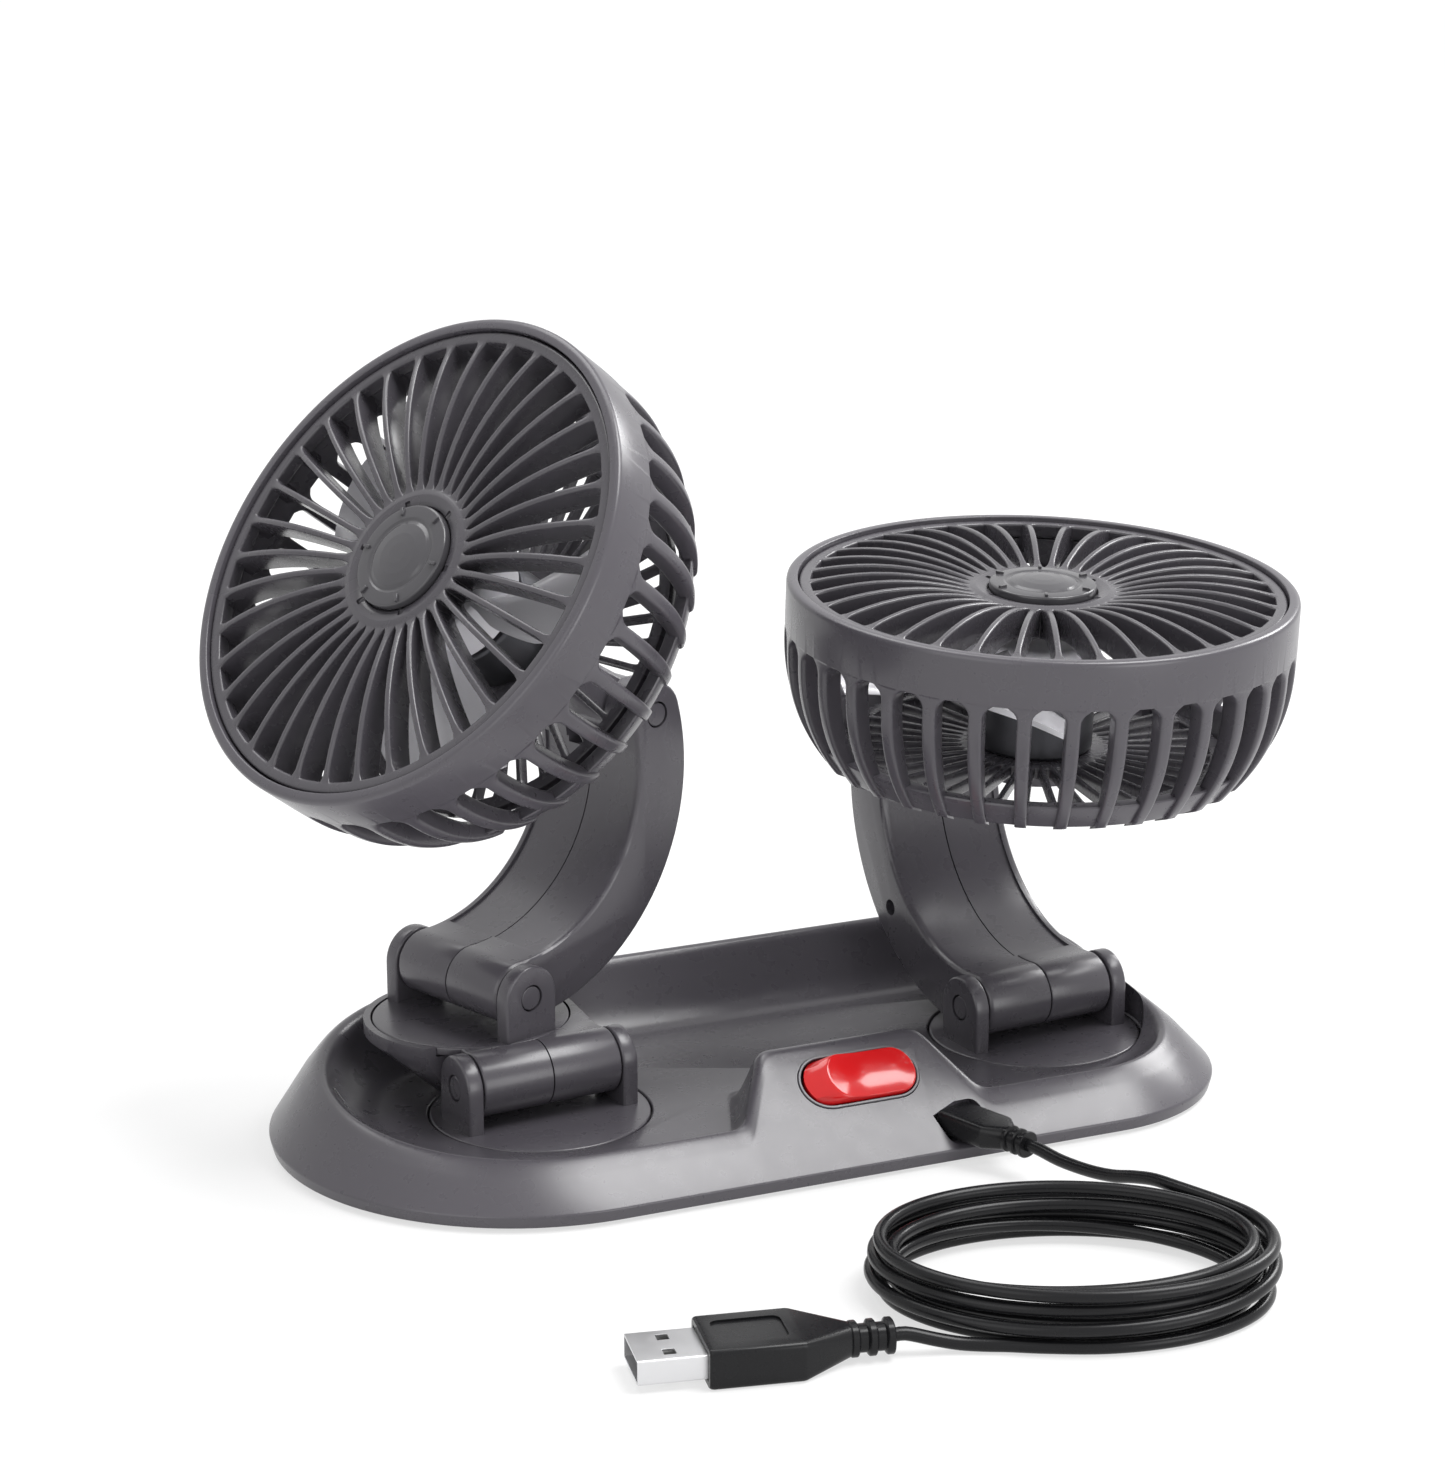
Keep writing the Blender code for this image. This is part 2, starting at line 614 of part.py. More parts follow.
def arm_outline():
    """Side view (y, z) of an arm: a band that sags below the line between its two pins, with round ends."""
    half_chord = ARM_CHORD / 2
    radius = (half_chord ** 2 + ARM_SAG ** 2) / (2 * ARM_SAG)
    centre = (half_chord, radius - ARM_SAG)
    spread = math.asin(half_chord / radius)
    steps = 9
    outer = []
    inner = []
    for i in range(steps + 1):
        t = -math.pi / 2 - spread + 2 * spread * i / steps
        outer.append((centre[0] + (radius + BARREL_RADIUS) * math.cos(t),
                      centre[1] + (radius + BARREL_RADIUS) * math.sin(t)))
        inner.append((centre[0] + (radius - BARREL_RADIUS) * math.cos(t),
                      centre[1] + (radius - BARREL_RADIUS) * math.sin(t)))
    ends = []
    for pin_y, first in ((ARM_CHORD, -math.pi / 2 + spread), (0.0, math.pi / 2 - spread)):
        cap = []
        for i in range(1, 6):
            t = first + math.pi * i / 6
            cap.append((pin_y + BARREL_RADIUS * math.cos(t), BARREL_RADIUS * math.sin(t)))
        ends.append(cap)
    return outer + ends[0] + inner[::-1] + ends[1]


def build_arm(side, parent, angle, plastic, seat):
    """An arm in two halves with a middle seam, forked round the head's knuckle at its top end."""
    axis = axis_empty(f"{side}_arm_axis", (0, 0, PIN_HEIGHT), "X", angle, parent)
    outline = arm_outline()
    half_length = BARREL_LENGTH / 2
    for direction, label in ((-1, "left"), (1, "right")):
        name = f"{side}_arm_{label}_half"
        near = direction * ARM_SEAM / 2
        far = direction * half_length
        shape = prism(outline, min(near, far), max(near, far), "X")
        rim = [edge for edge in shape.edges if all(abs(v.co.x - far) < GAP for v in edge.verts)]
        bmesh.ops.bevel(shape, geom=rim, offset=ARM_EDGE_BEVEL, segments=1, affect="EDGES")
        body = add_object(name, shape, plastic, axis)
        for place, label_end in ((0.0, "lower"), (ARM_CHORD, "upper")):
            bore = cylinder(PIN_RADIUS + GAP, -CLEVIS_WIDTH, CLEVIS_WIDTH, "X", (place, 0), sides=14)
            boolean(body, cutter(f"{name}_{label_end}_bore", bore, axis))
        fork = cylinder(FORK_RADIUS, -FORK_WIDTH / 2, FORK_WIDTH / 2, "X", (ARM_CHORD, 0), sides=24)
        boolean(body, cutter(f"{name}_fork", fork, axis))
        if direction < 0:
            low = -half_length - OVERRUN
            high = -half_length + ARM_SCREW_HOLE_DEPTH
            hole = cylinder(ARM_SCREW_HOLE_RADIUS, low, high, "X", (ARM_CHORD / 2, -ARM_SAG), sides=12)
            boolean(body, cutter(f"{name}_screw_hole", hole, axis))
    pin = cylinder(PIN_RADIUS, -half_length, half_length, "X", (ARM_CHORD, 0), sides=14)
    add_object(f"{side}_head_pin", pin, seat, axis)
    return axis


# Fan heads

SIDE_SHARES = ((0.36, 0.995), (0.62, 0.975), (0.84, 0.915))


def side_radius_rows():
    """(height, outer radius) rows of a head's side, from the slots' tops to the rear plane."""
    rows = [(-BAND_DEPTH - SLOT_CORNER, HEAD_RADIUS)]
    for depth_share, radius_share in SIDE_SHARES:
        rows.append((-HEAD_DEPTH * depth_share, HEAD_RADIUS * radius_share))
    rows.append((-HEAD_DEPTH, REAR_RADIUS))
    return rows


class RingMesh:
    """A bmesh addressed by name: each point is made once and reused by every face that names it."""

    def __init__(self):
        self.shape = bmesh.new()
        self.points = {}

    def point(self, radius, angle, height):
        key = (round(radius, 7), round(angle % (2 * math.pi), 6), round(height, 7))
        if key not in self.points:
            place = (radius * math.cos(angle), radius * math.sin(angle), height)
            self.points[key] = self.shape.verts.new(place)
        return self.points[key]

    def face(self, *corners):
        self.shape.faces.new([self.point(*corner) for corner in corners])


def build_housing(name, parent, place, plastic):
    """Rim band, curved ribs and rear ring of a head as one open-walled moulding."""
    ring = RingMesh()
    rows = side_radius_rows()
    slot_rows = rows[:-1]
    top, low, rear = slot_rows[0], slot_rows[-1], rows[-1]
    seat = GRILLE_SEAT_RADIUS
    step = 2 * math.pi / RIB_COUNT
    rib_half = RIB_WIDTH / 2 / HEAD_RADIUS
    corner = SLOT_CORNER / HEAD_RADIUS
    arch = top[0] + SLOT_CORNER

    def inner(row):
        return row[1] - RIB_DEPTH

    # Closed hoops in front of the slots: bevel, rim face, seat wall and ledge
    hoops = [(HEAD_RADIUS, -RIM_BEVEL), (HEAD_RADIUS - RIM_BEVEL, 0), (seat, 0), (seat, -GRILLE_SEAT_DEPTH),
             (inner(top), -GRILLE_SEAT_DEPTH)]
    for i in range(RIB_COUNT):
        a = i * step - rib_half
        b = a + 2 * rib_half
        c = a + step
        for (r0, z0), (r1, z1) in zip(hoops, hoops[1:]):
            ring.face((r0, a, z0), (r0, c, z0), (r1, c, z1), (r1, a, z1))
        # Band from the hoops to the slots' rounded tops, on both walls, and the faces under the arch
        edge = [(c, top[0]), (c - corner, arch), (b + corner, arch), (b, top[0])]
        for radius, upper in ((top[1], -RIM_BEVEL), (inner(top), -GRILLE_SEAT_DEPTH)):
            ring.face((radius, a, upper), (radius, c, upper), *[(radius, t, z) for t, z in edge],
                      (radius, a, top[0]))
        for (t0, z0), (t1, z1) in zip(edge, edge[1:]):
            ring.face((top[1], t0, z0), (top[1], t1, z1), (inner(top), t1, z1), (inner(top), t0, z0))
        # Rib between two slots
        for upper, lower in zip(slot_rows, slot_rows[1:]):
            for wall in (lambda row: row[1], inner):
                ring.face((wall(upper), a, upper[0]), (wall(upper), b, upper[0]),
                          (wall(lower), b, lower[0]), (wall(lower), a, lower[0]))
            for t in (a, b):
                ring.face((upper[1], t, upper[0]), (inner(upper), t, upper[0]),
                          (inner(lower), t, lower[0]), (lower[1], t, lower[0]))
        # Rear ring
        ring.face((low[1], b, low[0]), (low[1], c, low[0]), (inner(low), c, low[0]), (inner(low), b, low[0]))
        for wall in (lambda row: row[1], inner):
            ring.face((wall(low), a, low[0]), (wall(low), b, low[0]), (wall(low), c, low[0]),
                      (wall(rear), c, rear[0]), (wall(rear), a, rear[0]))
        ring.face((rear[1], a, rear[0]), (rear[1], c, rear[0]),
                  (inner(rear), c, rear[0]), (inner(rear), a, rear[0]))
    body = add_object(name, ring.shape, plastic, parent)
    body.location = place
    return body


def pierced_disc(count, bar_width, outer, ring_width, bar_radii, front_of, depth_of):
    """A ring and a hub joined by radial bars; bar_radii run from inside the ring to the hub."""
    ring = RingMesh()
    step = 2 * math.pi / count
    rim = outer - ring_width
    hub = bar_radii[-1]
    radii = [rim] + bar_radii
    hub_corners = []
    for i in range(count):
        mid = i * step

        def corners(radius, side, at=mid):
            """Front and back corner of a bar's side at a radius."""
            t = at + side * bar_width / 2 / radius
            front = front_of(radius)
            return (radius, t, front), (radius, t, front - depth_of(radius))

        for radius, following in zip(radii, radii[1:]):
            left, right = corners(radius, -1), corners(radius, 1)
            next_left, next_right = corners(following, -1), corners(following, 1)
            for level in (0, 1):
                ring.face(left[level], right[level], next_right[level], next_left[level])
            for side, next_side in ((left, next_left), (right, next_right)):
                ring.face(side[0], side[1], next_side[1], next_side[0])
        left, right, ahead = corners(rim, -1), corners(rim, 1), corners(rim, -1, mid + step)
        wall = []
        for level, height in ((0, front_of(outer)), (1, front_of(outer) - depth_of(outer))):
            start, end = (outer, left[0][1], height), (outer, ahead[0][1], height)
            ring.face(start, end, ahead[level], right[level], left[level])
            wall += [start, end] if level == 0 else [end, start]
        ring.face(*wall)
        ring.face(right[0], ahead[0], ahead[1], right[1])
        hub_left, hub_right, hub_ahead = corners(hub, -1), corners(hub, 1), corners(hub, -1, mid + step)
        ring.face(hub_right[0], hub_ahead[0], hub_ahead[1], hub_right[1])
        hub_corners += [hub_left, hub_right]
    ring.face(*[pair[0] for pair in hub_corners])
    ring.face(*[pair[1] for pair in hub_corners])
    return ring.shape


def bowed_front(radius):
    """Front edge of the vanes: level at the ring and the hub, bowed forward between them."""
    ring_inner = GRILLE_SEAT_RADIUS - GAP - GRILLE_RING_WIDTH
    share = (min(radius, ring_inner) - HUB_RADIUS) / (ring_inner - HUB_RADIUS)
    return VANE_BOW * 4 * share * (1 - share) - RIM_BEVEL


def vane_depth(radius):
    """The ring is as deep as its seat, the vanes deeper."""
    if radius > GRILLE_SEAT_RADIUS - GRILLE_RING_WIDTH - 2 * GAP:
        return GRILLE_SEAT_DEPTH - GAP - RIM_BEVEL
    return VANE_DEPTH


def build_front_grille(name, parent, place, plastic):
    outer = GRILLE_SEAT_RADIUS - GAP
    inner = outer - GRILLE_RING_WIDTH
    middle = (inner + HUB_RADIUS) / 2
    shape = pierced_disc(VANE_COUNT, VANE_WIDTH, outer, GRILLE_RING_WIDTH, [middle, HUB_RADIUS], bowed_front,
                         vane_depth)
    body = add_object(name, shape, plastic, parent)
    body.location = place
    room = cylinder(HUB_CAP_RADIUS + GAP, -HUB_CAP_DEPTH, VANE_DEPTH, sides=24)
    seat = cutter(f"{name}_cap_seat", room, parent)
    seat.location = place
    boolean(body, seat)
    return body


def build_hub_cap(name, parent, place, plastic):
    """Round cap in the grille's hub: a rim, a groove and a low dome."""
    profile_shares = ((1.0, 0.0), (1.0, 1.0), (0.86, 1.25), (0.78, 1.0), (0.60, 1.42), (0.25, 1.62))
    profile = [(HUB_CAP_RADIUS * radius_share, HUB_CAP_DEPTH * (height_share - 1) + GAP)
               for radius_share, height_share in profile_shares]
    body = add_object(name, turned(profile, 18), plastic, parent)
    body.location = place


def build_rear_grille(name, parent, place, plastic):
    """Radial bars behind the fan, inside the housing's rear ring, with the plate that holds the motor."""
    outer = REAR_RADIUS - RIB_DEPTH - GAP
    shape = pierced_disc(REAR_BAR_COUNT, REAR_BAR_WIDTH, outer, REAR_RING_WIDTH, [REAR_HUB_RADIUS],
                         lambda radius: REAR_BAR_DEPTH, lambda radius: REAR_BAR_DEPTH)
    body = add_object(name, shape, plastic, parent)
    body.location = place


BLADE_WIDTH_SHARES = (0.64, 0.95, 0.98, 0.60)
BLADE_ROOT_SHARE = 0.8
BLADE_LEAN_SHARE = 0.35
BLADE_FLATTEN_SHARE = 0.25


def blade_solid(angle):
    """One swept and twisted blade from inside the hub to its rounded tip."""
    stations = len(BLADE_WIDTH_SHARES)
    chord_points = 4
    root = IMPELLER_HUB_RADIUS * BLADE_ROOT_SHARE
    rings = []
    for i, width_share in enumerate(BLADE_WIDTH_SHARES):
        reach_share = i / (stations - 1)
        radius = root + (IMPELLER_RADIUS - root) * reach_share
        centre = angle + math.radians(BLADE_SWEEP) * BLADE_LEAN_SHARE * reach_share
        half = math.radians(BLADE_SWEEP) / 2 * width_share
        fall_share = 1.0 - BLADE_FLATTEN_SHARE * reach_share
        front, back = [], []
        for j in range(chord_points):
            chord_share = 2 * j / (chord_points - 1) - 1
            t = centre + half * chord_share
            camber = BLADE_THICKNESS * (1 - chord_share ** 2)
            level = -BLADE_SPAN / 2 * fall_share * chord_share + camber
            front.append(Vector((radius * math.cos(t), radius * math.sin(t), level + BLADE_THICKNESS / 2)))
            back.append(Vector((radius * math.cos(t), radius * math.sin(t), level - BLADE_THICKNESS / 2)))
        rings.append(front + back[::-1])
    blade = rings_to_solid(rings)
    bmesh.ops.triangulate(blade, faces=blade.faces)
    return blade


def build_impeller(side, parent, place, blade_plastic, steel, motor_top):
    """Five-bladed impeller and the motor shaft that carries it, about the fan's own axis."""
    axis = axis_empty(f"{side}_fan_axis", place, parent=parent)
    half_hub = IMPELLER_HUB_LENGTH / 2
    hub = turned([(IMPELLER_HUB_RADIUS, -half_hub), (IMPELLER_HUB_RADIUS, half_hub - RIM_BEVEL * 2),
                  (IMPELLER_HUB_RADIUS - RIM_BEVEL * 2, half_hub)], 20)
    body = add_object(f"{side}_impeller", hub, blade_plastic, axis)
    for index in range(BLADE_COUNT):
        blade = cutter(f"{side}_blade_{index}", blade_solid(2 * math.pi * index / BLADE_COUNT), axis)
        boolean(body, blade, "UNION")
    bore = cylinder(SHAFT_RADIUS + GAP, -half_hub - OVERRUN, half_hub - OVERRUN, sides=10)
    boolean(body, cutter(f"{side}_impeller_bore", bore, axis))
    low = motor_top - place[2] - MOTOR_LENGTH / 2
    shaft = cylinder(SHAFT_RADIUS, low, half_hub - OVERRUN - GAP, sides=10)
    add_object(f"{side}_motor_shaft", shaft, steel, axis)


STEM_SHARES = ((0.0, 1.0), (0.6, 0.8), (0.84, 1.15), (1.0, 1.3))
STEM_CORNER_SHARES = ((-1, -0.6), (-0.6, -1), (0.6, -1), (1, -0.6), (1, 0.6), (0.6, 1), (-0.6, 1), (-1, 0.6))


def build_bracket(name, parent, offset, standoff, plastic):
    """Knuckle in the arm's fork, a stem and a flange on the head's rear plate."""
    half = FORK_WIDTH / 2 - GAP
    body = add_object(name, cylinder(KNUCKLE_RADIUS, -half, half, "X", sides=20), plastic, parent)
    flange_top = standoff - GAP
    flange_low = flange_top - FLANGE_THICKNESS
    flange = cylinder(FLANGE_RADIUS, flange_low, flange_top, centre=(0, -offset), sides=28)
    if offset > KNUCKLE_RADIUS:
        low = flange_top - STEM_THICKNESS
        stem = box((-half, -offset, low), (half, 0, flange_top - FLANGE_THICKNESS / 2))
    else:
        wide = KNUCKLE_RADIUS - 2 * GAP
        rings = []
        for level_share, width_share in STEM_SHARES:
            rings.append([Vector((x_share * half * width_share, y_share * wide * width_share - offset,
                                  flange_top * level_share)) for x_share, y_share in STEM_CORNER_SHARES])
        stem = rings_to_solid(rings)
    boolean(body, cutter(f"{name}_stem", stem, parent), "UNION")
    boolean(body, cutter(f"{name}_flange", flange, parent), "UNION")
    bore = cylinder(PIN_RADIUS + GAP, -CLEVIS_WIDTH, CLEVIS_WIDTH, "X", sides=14)
    boolean(body, cutter(f"{name}_bore", bore, parent))


def build_head(side, parent, arm_angle, tilt, offset, standoff, paints):
    """A whole head about its tilting pin: +Z is the way the air blows."""
    axis = axis_empty(f"{side}_head_axis", (0, ARM_CHORD, 0), "X", tilt - arm_angle, parent)
    rim = Vector((0, -offset, standoff + HEAD_DEPTH))
    rear = Vector((0, -offset, standoff))
    build_bracket(f"{side}_head_bracket", axis, offset, standoff, paints["body"])
    build_housing(f"{side}_head_housing", axis, rim, paints["body"])
    build_front_grille(f"{side}_front_grille", axis, rim, paints["body"])
    build_hub_cap(f"{side}_hub_cap", axis, rim, paints["body"])
    build_rear_grille(f"{side}_rear_grille", axis, rear, paints["body"])
    motor_low = standoff + REAR_BAR_DEPTH + GAP
    motor_top = motor_low + MOTOR_LENGTH
    can = cylinder(MOTOR_RADIUS, motor_low, motor_top, centre=(0, -offset), sides=24)
    motor = add_object(f"{side}_motor", can, paints["steel"], axis)
    bore_low = motor_top - MOTOR_LENGTH * 2 / 3
    bore = cylinder(SHAFT_RADIUS + GAP, bore_low, motor_top + OVERRUN, centre=(0, -offset), sides=10)
    boolean(motor, cutter(f"{side}_motor_bore", bore, axis))
    fan_place = Vector((0, -offset, motor_top + HUB_CLEARANCE + IMPELLER_HUB_LENGTH / 2))
    build_impeller(side, axis, fan_place, paints["blade"], paints["steel"], motor_top)


# Switch and inlet

CROWN_SHARES = (0.93, 0.84)
ROCKER_FOOT_SHARE = 0.90


def build_switch(paints):
    """Rocker switch in the boss: a cup with a rim, and a rocker that turns about the slope's direction."""
    frame = face_frame()
    clearance = 2 * GAP
    cup_length = ROCKER_LENGTH + 2 * (BEZEL_WALL + GAP)
    cup_width = ROCKER_WIDTH + 2 * (BEZEL_WALL + GAP)
    outside = prism(stadium(cup_length, cup_width), -SWITCH_DEPTH, GAP)
    cup = add_object("switch_housing", outside, paints["dark"])
    cup.matrix_world = frame
    room = prism(stadium(ROCKER_LENGTH + clearance, ROCKER_WIDTH + clearance), SWITCH_FLOOR - SWITCH_DEPTH,
                 SWITCH_DEPTH)
    inside = cutter("switch_room", room)
    inside.matrix_world = frame
    boolean(cup, inside)
    outline = stadium(ROCKER_LENGTH * math.cos(math.radians(ROCKER_ANGLE)), ROCKER_WIDTH)
    top = [Vector((x, y, ROCKER_STAND + abs(x) * math.tan(math.radians(ROCKER_ANGLE)))) for x, y in outline]
    shoulder = [Vector((x, y, point.z - RIM_BEVEL)) for (x, y), point in zip(outline, top)]
    crown_share_x, crown_share_y = CROWN_SHARES
    crown = [Vector((point.x * crown_share_x, point.y * crown_share_y, point.z)) for point in top]
    bottom = [Vector((x * ROCKER_FOOT_SHARE, y, -ROCKER_DEPTH)) for x, y in outline]
    rocker = add_object("switch_rocker", rings_to_solid([bottom, shoulder, crown]), paints["rocker"])
    rocker.matrix_world = frame @ Matrix.Rotation(math.radians(ROCKER_ANGLE), 4, "Y")


def build_inlet(paints):
    socket = add_object("usb_inlet", box(*inlet_block_corners()), paints["steel"])
    socket.matrix_world = inlet_frame()
    add_object("control_board", box(*board_corners()), paints["board"])


# Cord, plugs and coil

GROOVE_SHARE = 0.78
INLET_PLUG_CORNER_SHARE = 0.45
USB_BODY_CORNER_SHARE = 0.2


def plug_ring(width, thickness, along, corner_share):
    """Cross-section of a moulded plug: a rectangle with cut corners, eight points square to Y."""
    w, t = width / 2, thickness / 2
    c = min(w, t) * corner_share
    points = [(w, c - t), (w, t - c), (w - c, t), (c - w, t)]
    points += [(-w, t - c), (-w, c - t), (c - w, -t), (w - c, -t)]
    return [Vector((a, along, b)) for a, b in points]


def round_ring(radius, along, sides=8):
    """An eight-sided ring square to Y, its corners matched to those of a plug's cross-section."""
    first = -math.pi / sides
    return [Vector((radius * math.cos(first + 2 * math.pi * i / sides), along,
                    radius * math.sin(first + 2 * math.pi * i / sides))) for i in range(sides)]


def relief_rings(start, length, radius, grooves):
    """Rings of a strain relief with round grooves, running towards -Y from start."""
    rings = []
    pitch = length / (2 * grooves + 1)
    for i in range(2 * grooves + 1):
        size = radius if i % 2 == 0 else radius * GROOVE_SHARE
        rings.append(round_ring(size, start - i * pitch))
        rings.append(round_ring(size, start - (i + 1) * pitch))
    return rings


def inlet_plug_end():
    """Where the cord leaves the inlet plug's relief, and the way it points, in the world."""
    frame = inlet_frame()
    length = INLET_PLUG_LENGTH + INLET_SHOULDER + INLET_RELIEF_LENGTH
    return frame @ Vector((0, -length, 0)), (frame.to_3x3() @ Vector((0, -1, 0))).normalized()


def usb_frame():
    """Frame of the USB plug: its origin is the end of the relief, and -Y of the frame points to the cord."""
    place = Vector((USB_X, USB_Y, USB_BODY_THICKNESS / 2))
    return Matrix.Translation(place) @ Matrix.Rotation(math.radians(USB_YAW - 90), 4, "Z")


def build_inlet_plug(paints):
    body_end = -INLET_PLUG_LENGTH
    shoulder_end = body_end - INLET_SHOULDER
    rings = [plug_ring(INLET_PLUG_WIDTH, INLET_PLUG_THICKNESS, along, INLET_PLUG_CORNER_SHARE)
             for along in (0, body_end)]
    rings += relief_rings(shoulder_end, INLET_RELIEF_LENGTH, RELIEF_RADIUS, 2)
    plug = add_object("inlet_plug", rings_to_solid(rings), paints["cord"])
    plug.matrix_world = inlet_frame()


def build_usb_plug(paints):
    """Overmould with its relief, metal shell and insulating tongue of the plug."""
    frame = usb_frame()
    relief_end = 0.0
    taper_start = relief_end + USB_RELIEF_LENGTH
    body_start = taper_start + USB_TAPER_LENGTH
    body_end = body_start + USB_BODY_LENGTH
    rings = [plug_ring(USB_BODY_WIDTH, USB_BODY_THICKNESS, along, USB_BODY_CORNER_SHARE)
             for along in (body_end, body_start)]
    rings += relief_rings(taper_start, USB_RELIEF_LENGTH, USB_RELIEF_RADIUS, 2)
    body = add_object("usb_plug_body", rings_to_solid(rings), paints["cord"])
    body.matrix_world = frame
    half_w, half_t = USB_SHELL_WIDTH / 2, USB_SHELL_THICKNESS / 2
    buried = body_end - USB_SHELL_BURIED
    room_w, room_t = half_w + GAP, half_t + GAP
    socket = box((-room_w, buried - GAP, -room_t), (room_w, body_end + OVERRUN, room_t))
    pocket = cutter("usb_shell_pocket", socket)
    pocket.matrix_world = frame
    boolean(body, pocket)
    tip = body_end + USB_SHELL_LENGTH
    sleeve = box((-half_w, buried, -half_t), (half_w, tip, half_t))
    shell = add_object("usb_plug_shell", sleeve, paints["bright"])
    shell.matrix_world = frame
    wall = USB_SHELL_WALL
    inside = cutter("usb_shell_inside", box((wall - half_w, buried + wall, wall - half_t),
                                            (half_w - wall, tip + OVERRUN, half_t - wall)))
    inside.matrix_world = frame
    boolean(shell, inside)
    for index, side in enumerate((-1, 1)):
        centre = Vector((side * half_w / 2, body_end + USB_SHELL_LENGTH / 2, 0))
        reach = Vector((USB_WINDOW / 2, USB_WINDOW / 2, half_t + OVERRUN))
        window = cutter(f"usb_window_{index}", box(centre - reach, centre + reach))
        window.matrix_world = frame
        boolean(shell, window)
    low = wall + GAP - half_t
    tongue = box((wall + GAP - half_w, buried + wall + GAP, low),
                 (half_w - wall - GAP, tip - USB_WINDOW, low + USB_TONGUE_THICKNESS))
    piece = add_object("usb_plug_tongue", tongue, paints["tongue"])
    piece.matrix_world = frame


def coil_place(angle_degrees, drawn_in, height):
    """A point of the coil: an oval drawn in by some distance, turned to lie along the view."""
    t = math.radians(angle_degrees)
    long_radius = COIL_LONG_RADIUS - drawn_in
    short_radius = COIL_SHORT_RADIUS - drawn_in
    flat = Vector((long_radius * math.cos(t), short_radius * math.sin(t), height))
    centre = Vector((COIL_CENTRE_X, COIL_CENTRE_Y, 0))
    return Matrix.Rotation(math.radians(COIL_TURN_ANGLE), 3, "Z") @ flat + centre


def coil_points():
    """The coil's centre line, clockwise from the top layer's outside to the bottom layer's outside.

    Each layer spirals in or out at a steady rate. In the half turn where the spiral reverses,
    the cord climbs down a layer.
    """
    total = COIL_WHOLE_TURNS + (COIL_START - COIL_END) / 360
    spiral = (total - (COIL_LAYERS - 1) / 2) / COIL_LAYERS
    count = round(total * POINTS_PER_LOOP)
    top = CORD_REST + (COIL_LAYERS - 1) * COIL_LAYER_PITCH
    points = []
    for i in range(count + 1):
        turns = total * i / count
        layer = min(int(turns / (spiral + 0.5)), COIL_LAYERS - 1)
        within = turns - layer * (spiral + 0.5)
        share = min(within / spiral, 1.0)
        inwards = share if layer % 2 == 0 else 1.0 - share
        climb = smooth_step((within - spiral) / 0.5) if layer < COIL_LAYERS - 1 else 0.0
        height = top - (layer + climb) * COIL_LAYER_PITCH
        points.append(coil_place(COIL_START - 360 * turns, inwards * spiral * COIL_PITCH, height))
    start_way = (points[0] - points[1]).normalized()
    start_way.z = 0
    end_way = (points[-1] - points[-2]).normalized()
    end_way.z = 0
    points.insert(0, points[0] + start_way * CORD_DIAMETER)
    points.append(points[-1] + end_way * CORD_DIAMETER)
    return points


def least_gap(points):
    """Smallest clear distance between turns, measured between points that are not neighbours."""
    tree = KDTree(len(points))
    for index, point in enumerate(points):
        tree.insert(point, index)
    tree.balance()
    nearest = COIL_LONG_RADIUS
    for index, point in enumerate(points):
        for _, other, distance in tree.find_range(point, COIL_PITCH * 2):
            if abs(other - index) > POINTS_PER_LOOP // 4:
                nearest = min(nearest, distance)
    return nearest - CORD_DIAMETER


def smooth_through(points, spacing):
    """Even points along a smooth curve through the route's own points."""
    path = [points[0] * 2 - points[1]] + points + [points[-1] * 2 - points[-2]]
    fine = []
    for p0, p1, p2, p3 in zip(path, path[1:], path[2:], path[3:]):
        for step in range(12):
            t = step / 12
            fine.append(0.5 * ((2 * p1) + (p2 - p0) * t + (2 * p0 - 5 * p1 + 4 * p2 - p3) * t ** 2
                               + (3 * p1 - p0 - 3 * p2 + p3) * t ** 3))
    fine.append(points[-1])
    lengths = [0.0]
    for a, b in zip(fine, fine[1:]):
        lengths.append(lengths[-1] + (b - a).length)
    count = max(round(lengths[-1] / spacing), 2)
    even = []
    index = 0
    for i in range(count + 1):
        goal = lengths[-1] * i / count
        while index < len(fine) - 2 and lengths[index + 1] < goal:
            index += 1
        span = lengths[index + 1] - lengths[index]
        even.append(fine[index].lerp(fine[index + 1], (goal - lengths[index]) / span))
    return even


def tube(name, points, resolution, colour):
    """A closed round tube along points, as a curve with filled caps."""
    curve = bpy.data.curves.new(name, "CURVE")
    curve.dimensions = "3D"
    curve.bevel_depth = CORD_RADIUS
    curve.bevel_resolution = resolution
    curve.use_fill_caps = True
    spline = curve.splines.new("POLY")
    spline.points.add(len(points) - 1)
    for target, point in zip(spline.points, points):
        target.co = (*point, 1)
    curve.materials.append(colour)
    made = bpy.data.objects.new(name, curve)
    bpy.context.scene.collection.objects.link(made)
    return made


# The lead's free stretch, by hand: (x, y, height) between the inlet plug and the coil
LEAD_ROUTE = ((0.0352, -0.0700, 0.0063), (0.0373, -0.0770, 0.0065), (0.0390, -0.0830, 0.0074),
              (0.0405, -0.0880, 0.0088), (0.0419, -0.0930, 0.0099), (0.0434, -0.0985, 0.01025))
# The tail's free stretch, by hand, between the coil and the USB plug
TAIL_ROUTE = ((-0.0085, -0.1297, 0.00135), (-0.0122, -0.1278, 0.00135), (-0.0160, -0.1260, 0.0016),
              (-0.0198, -0.1245, 0.0024))


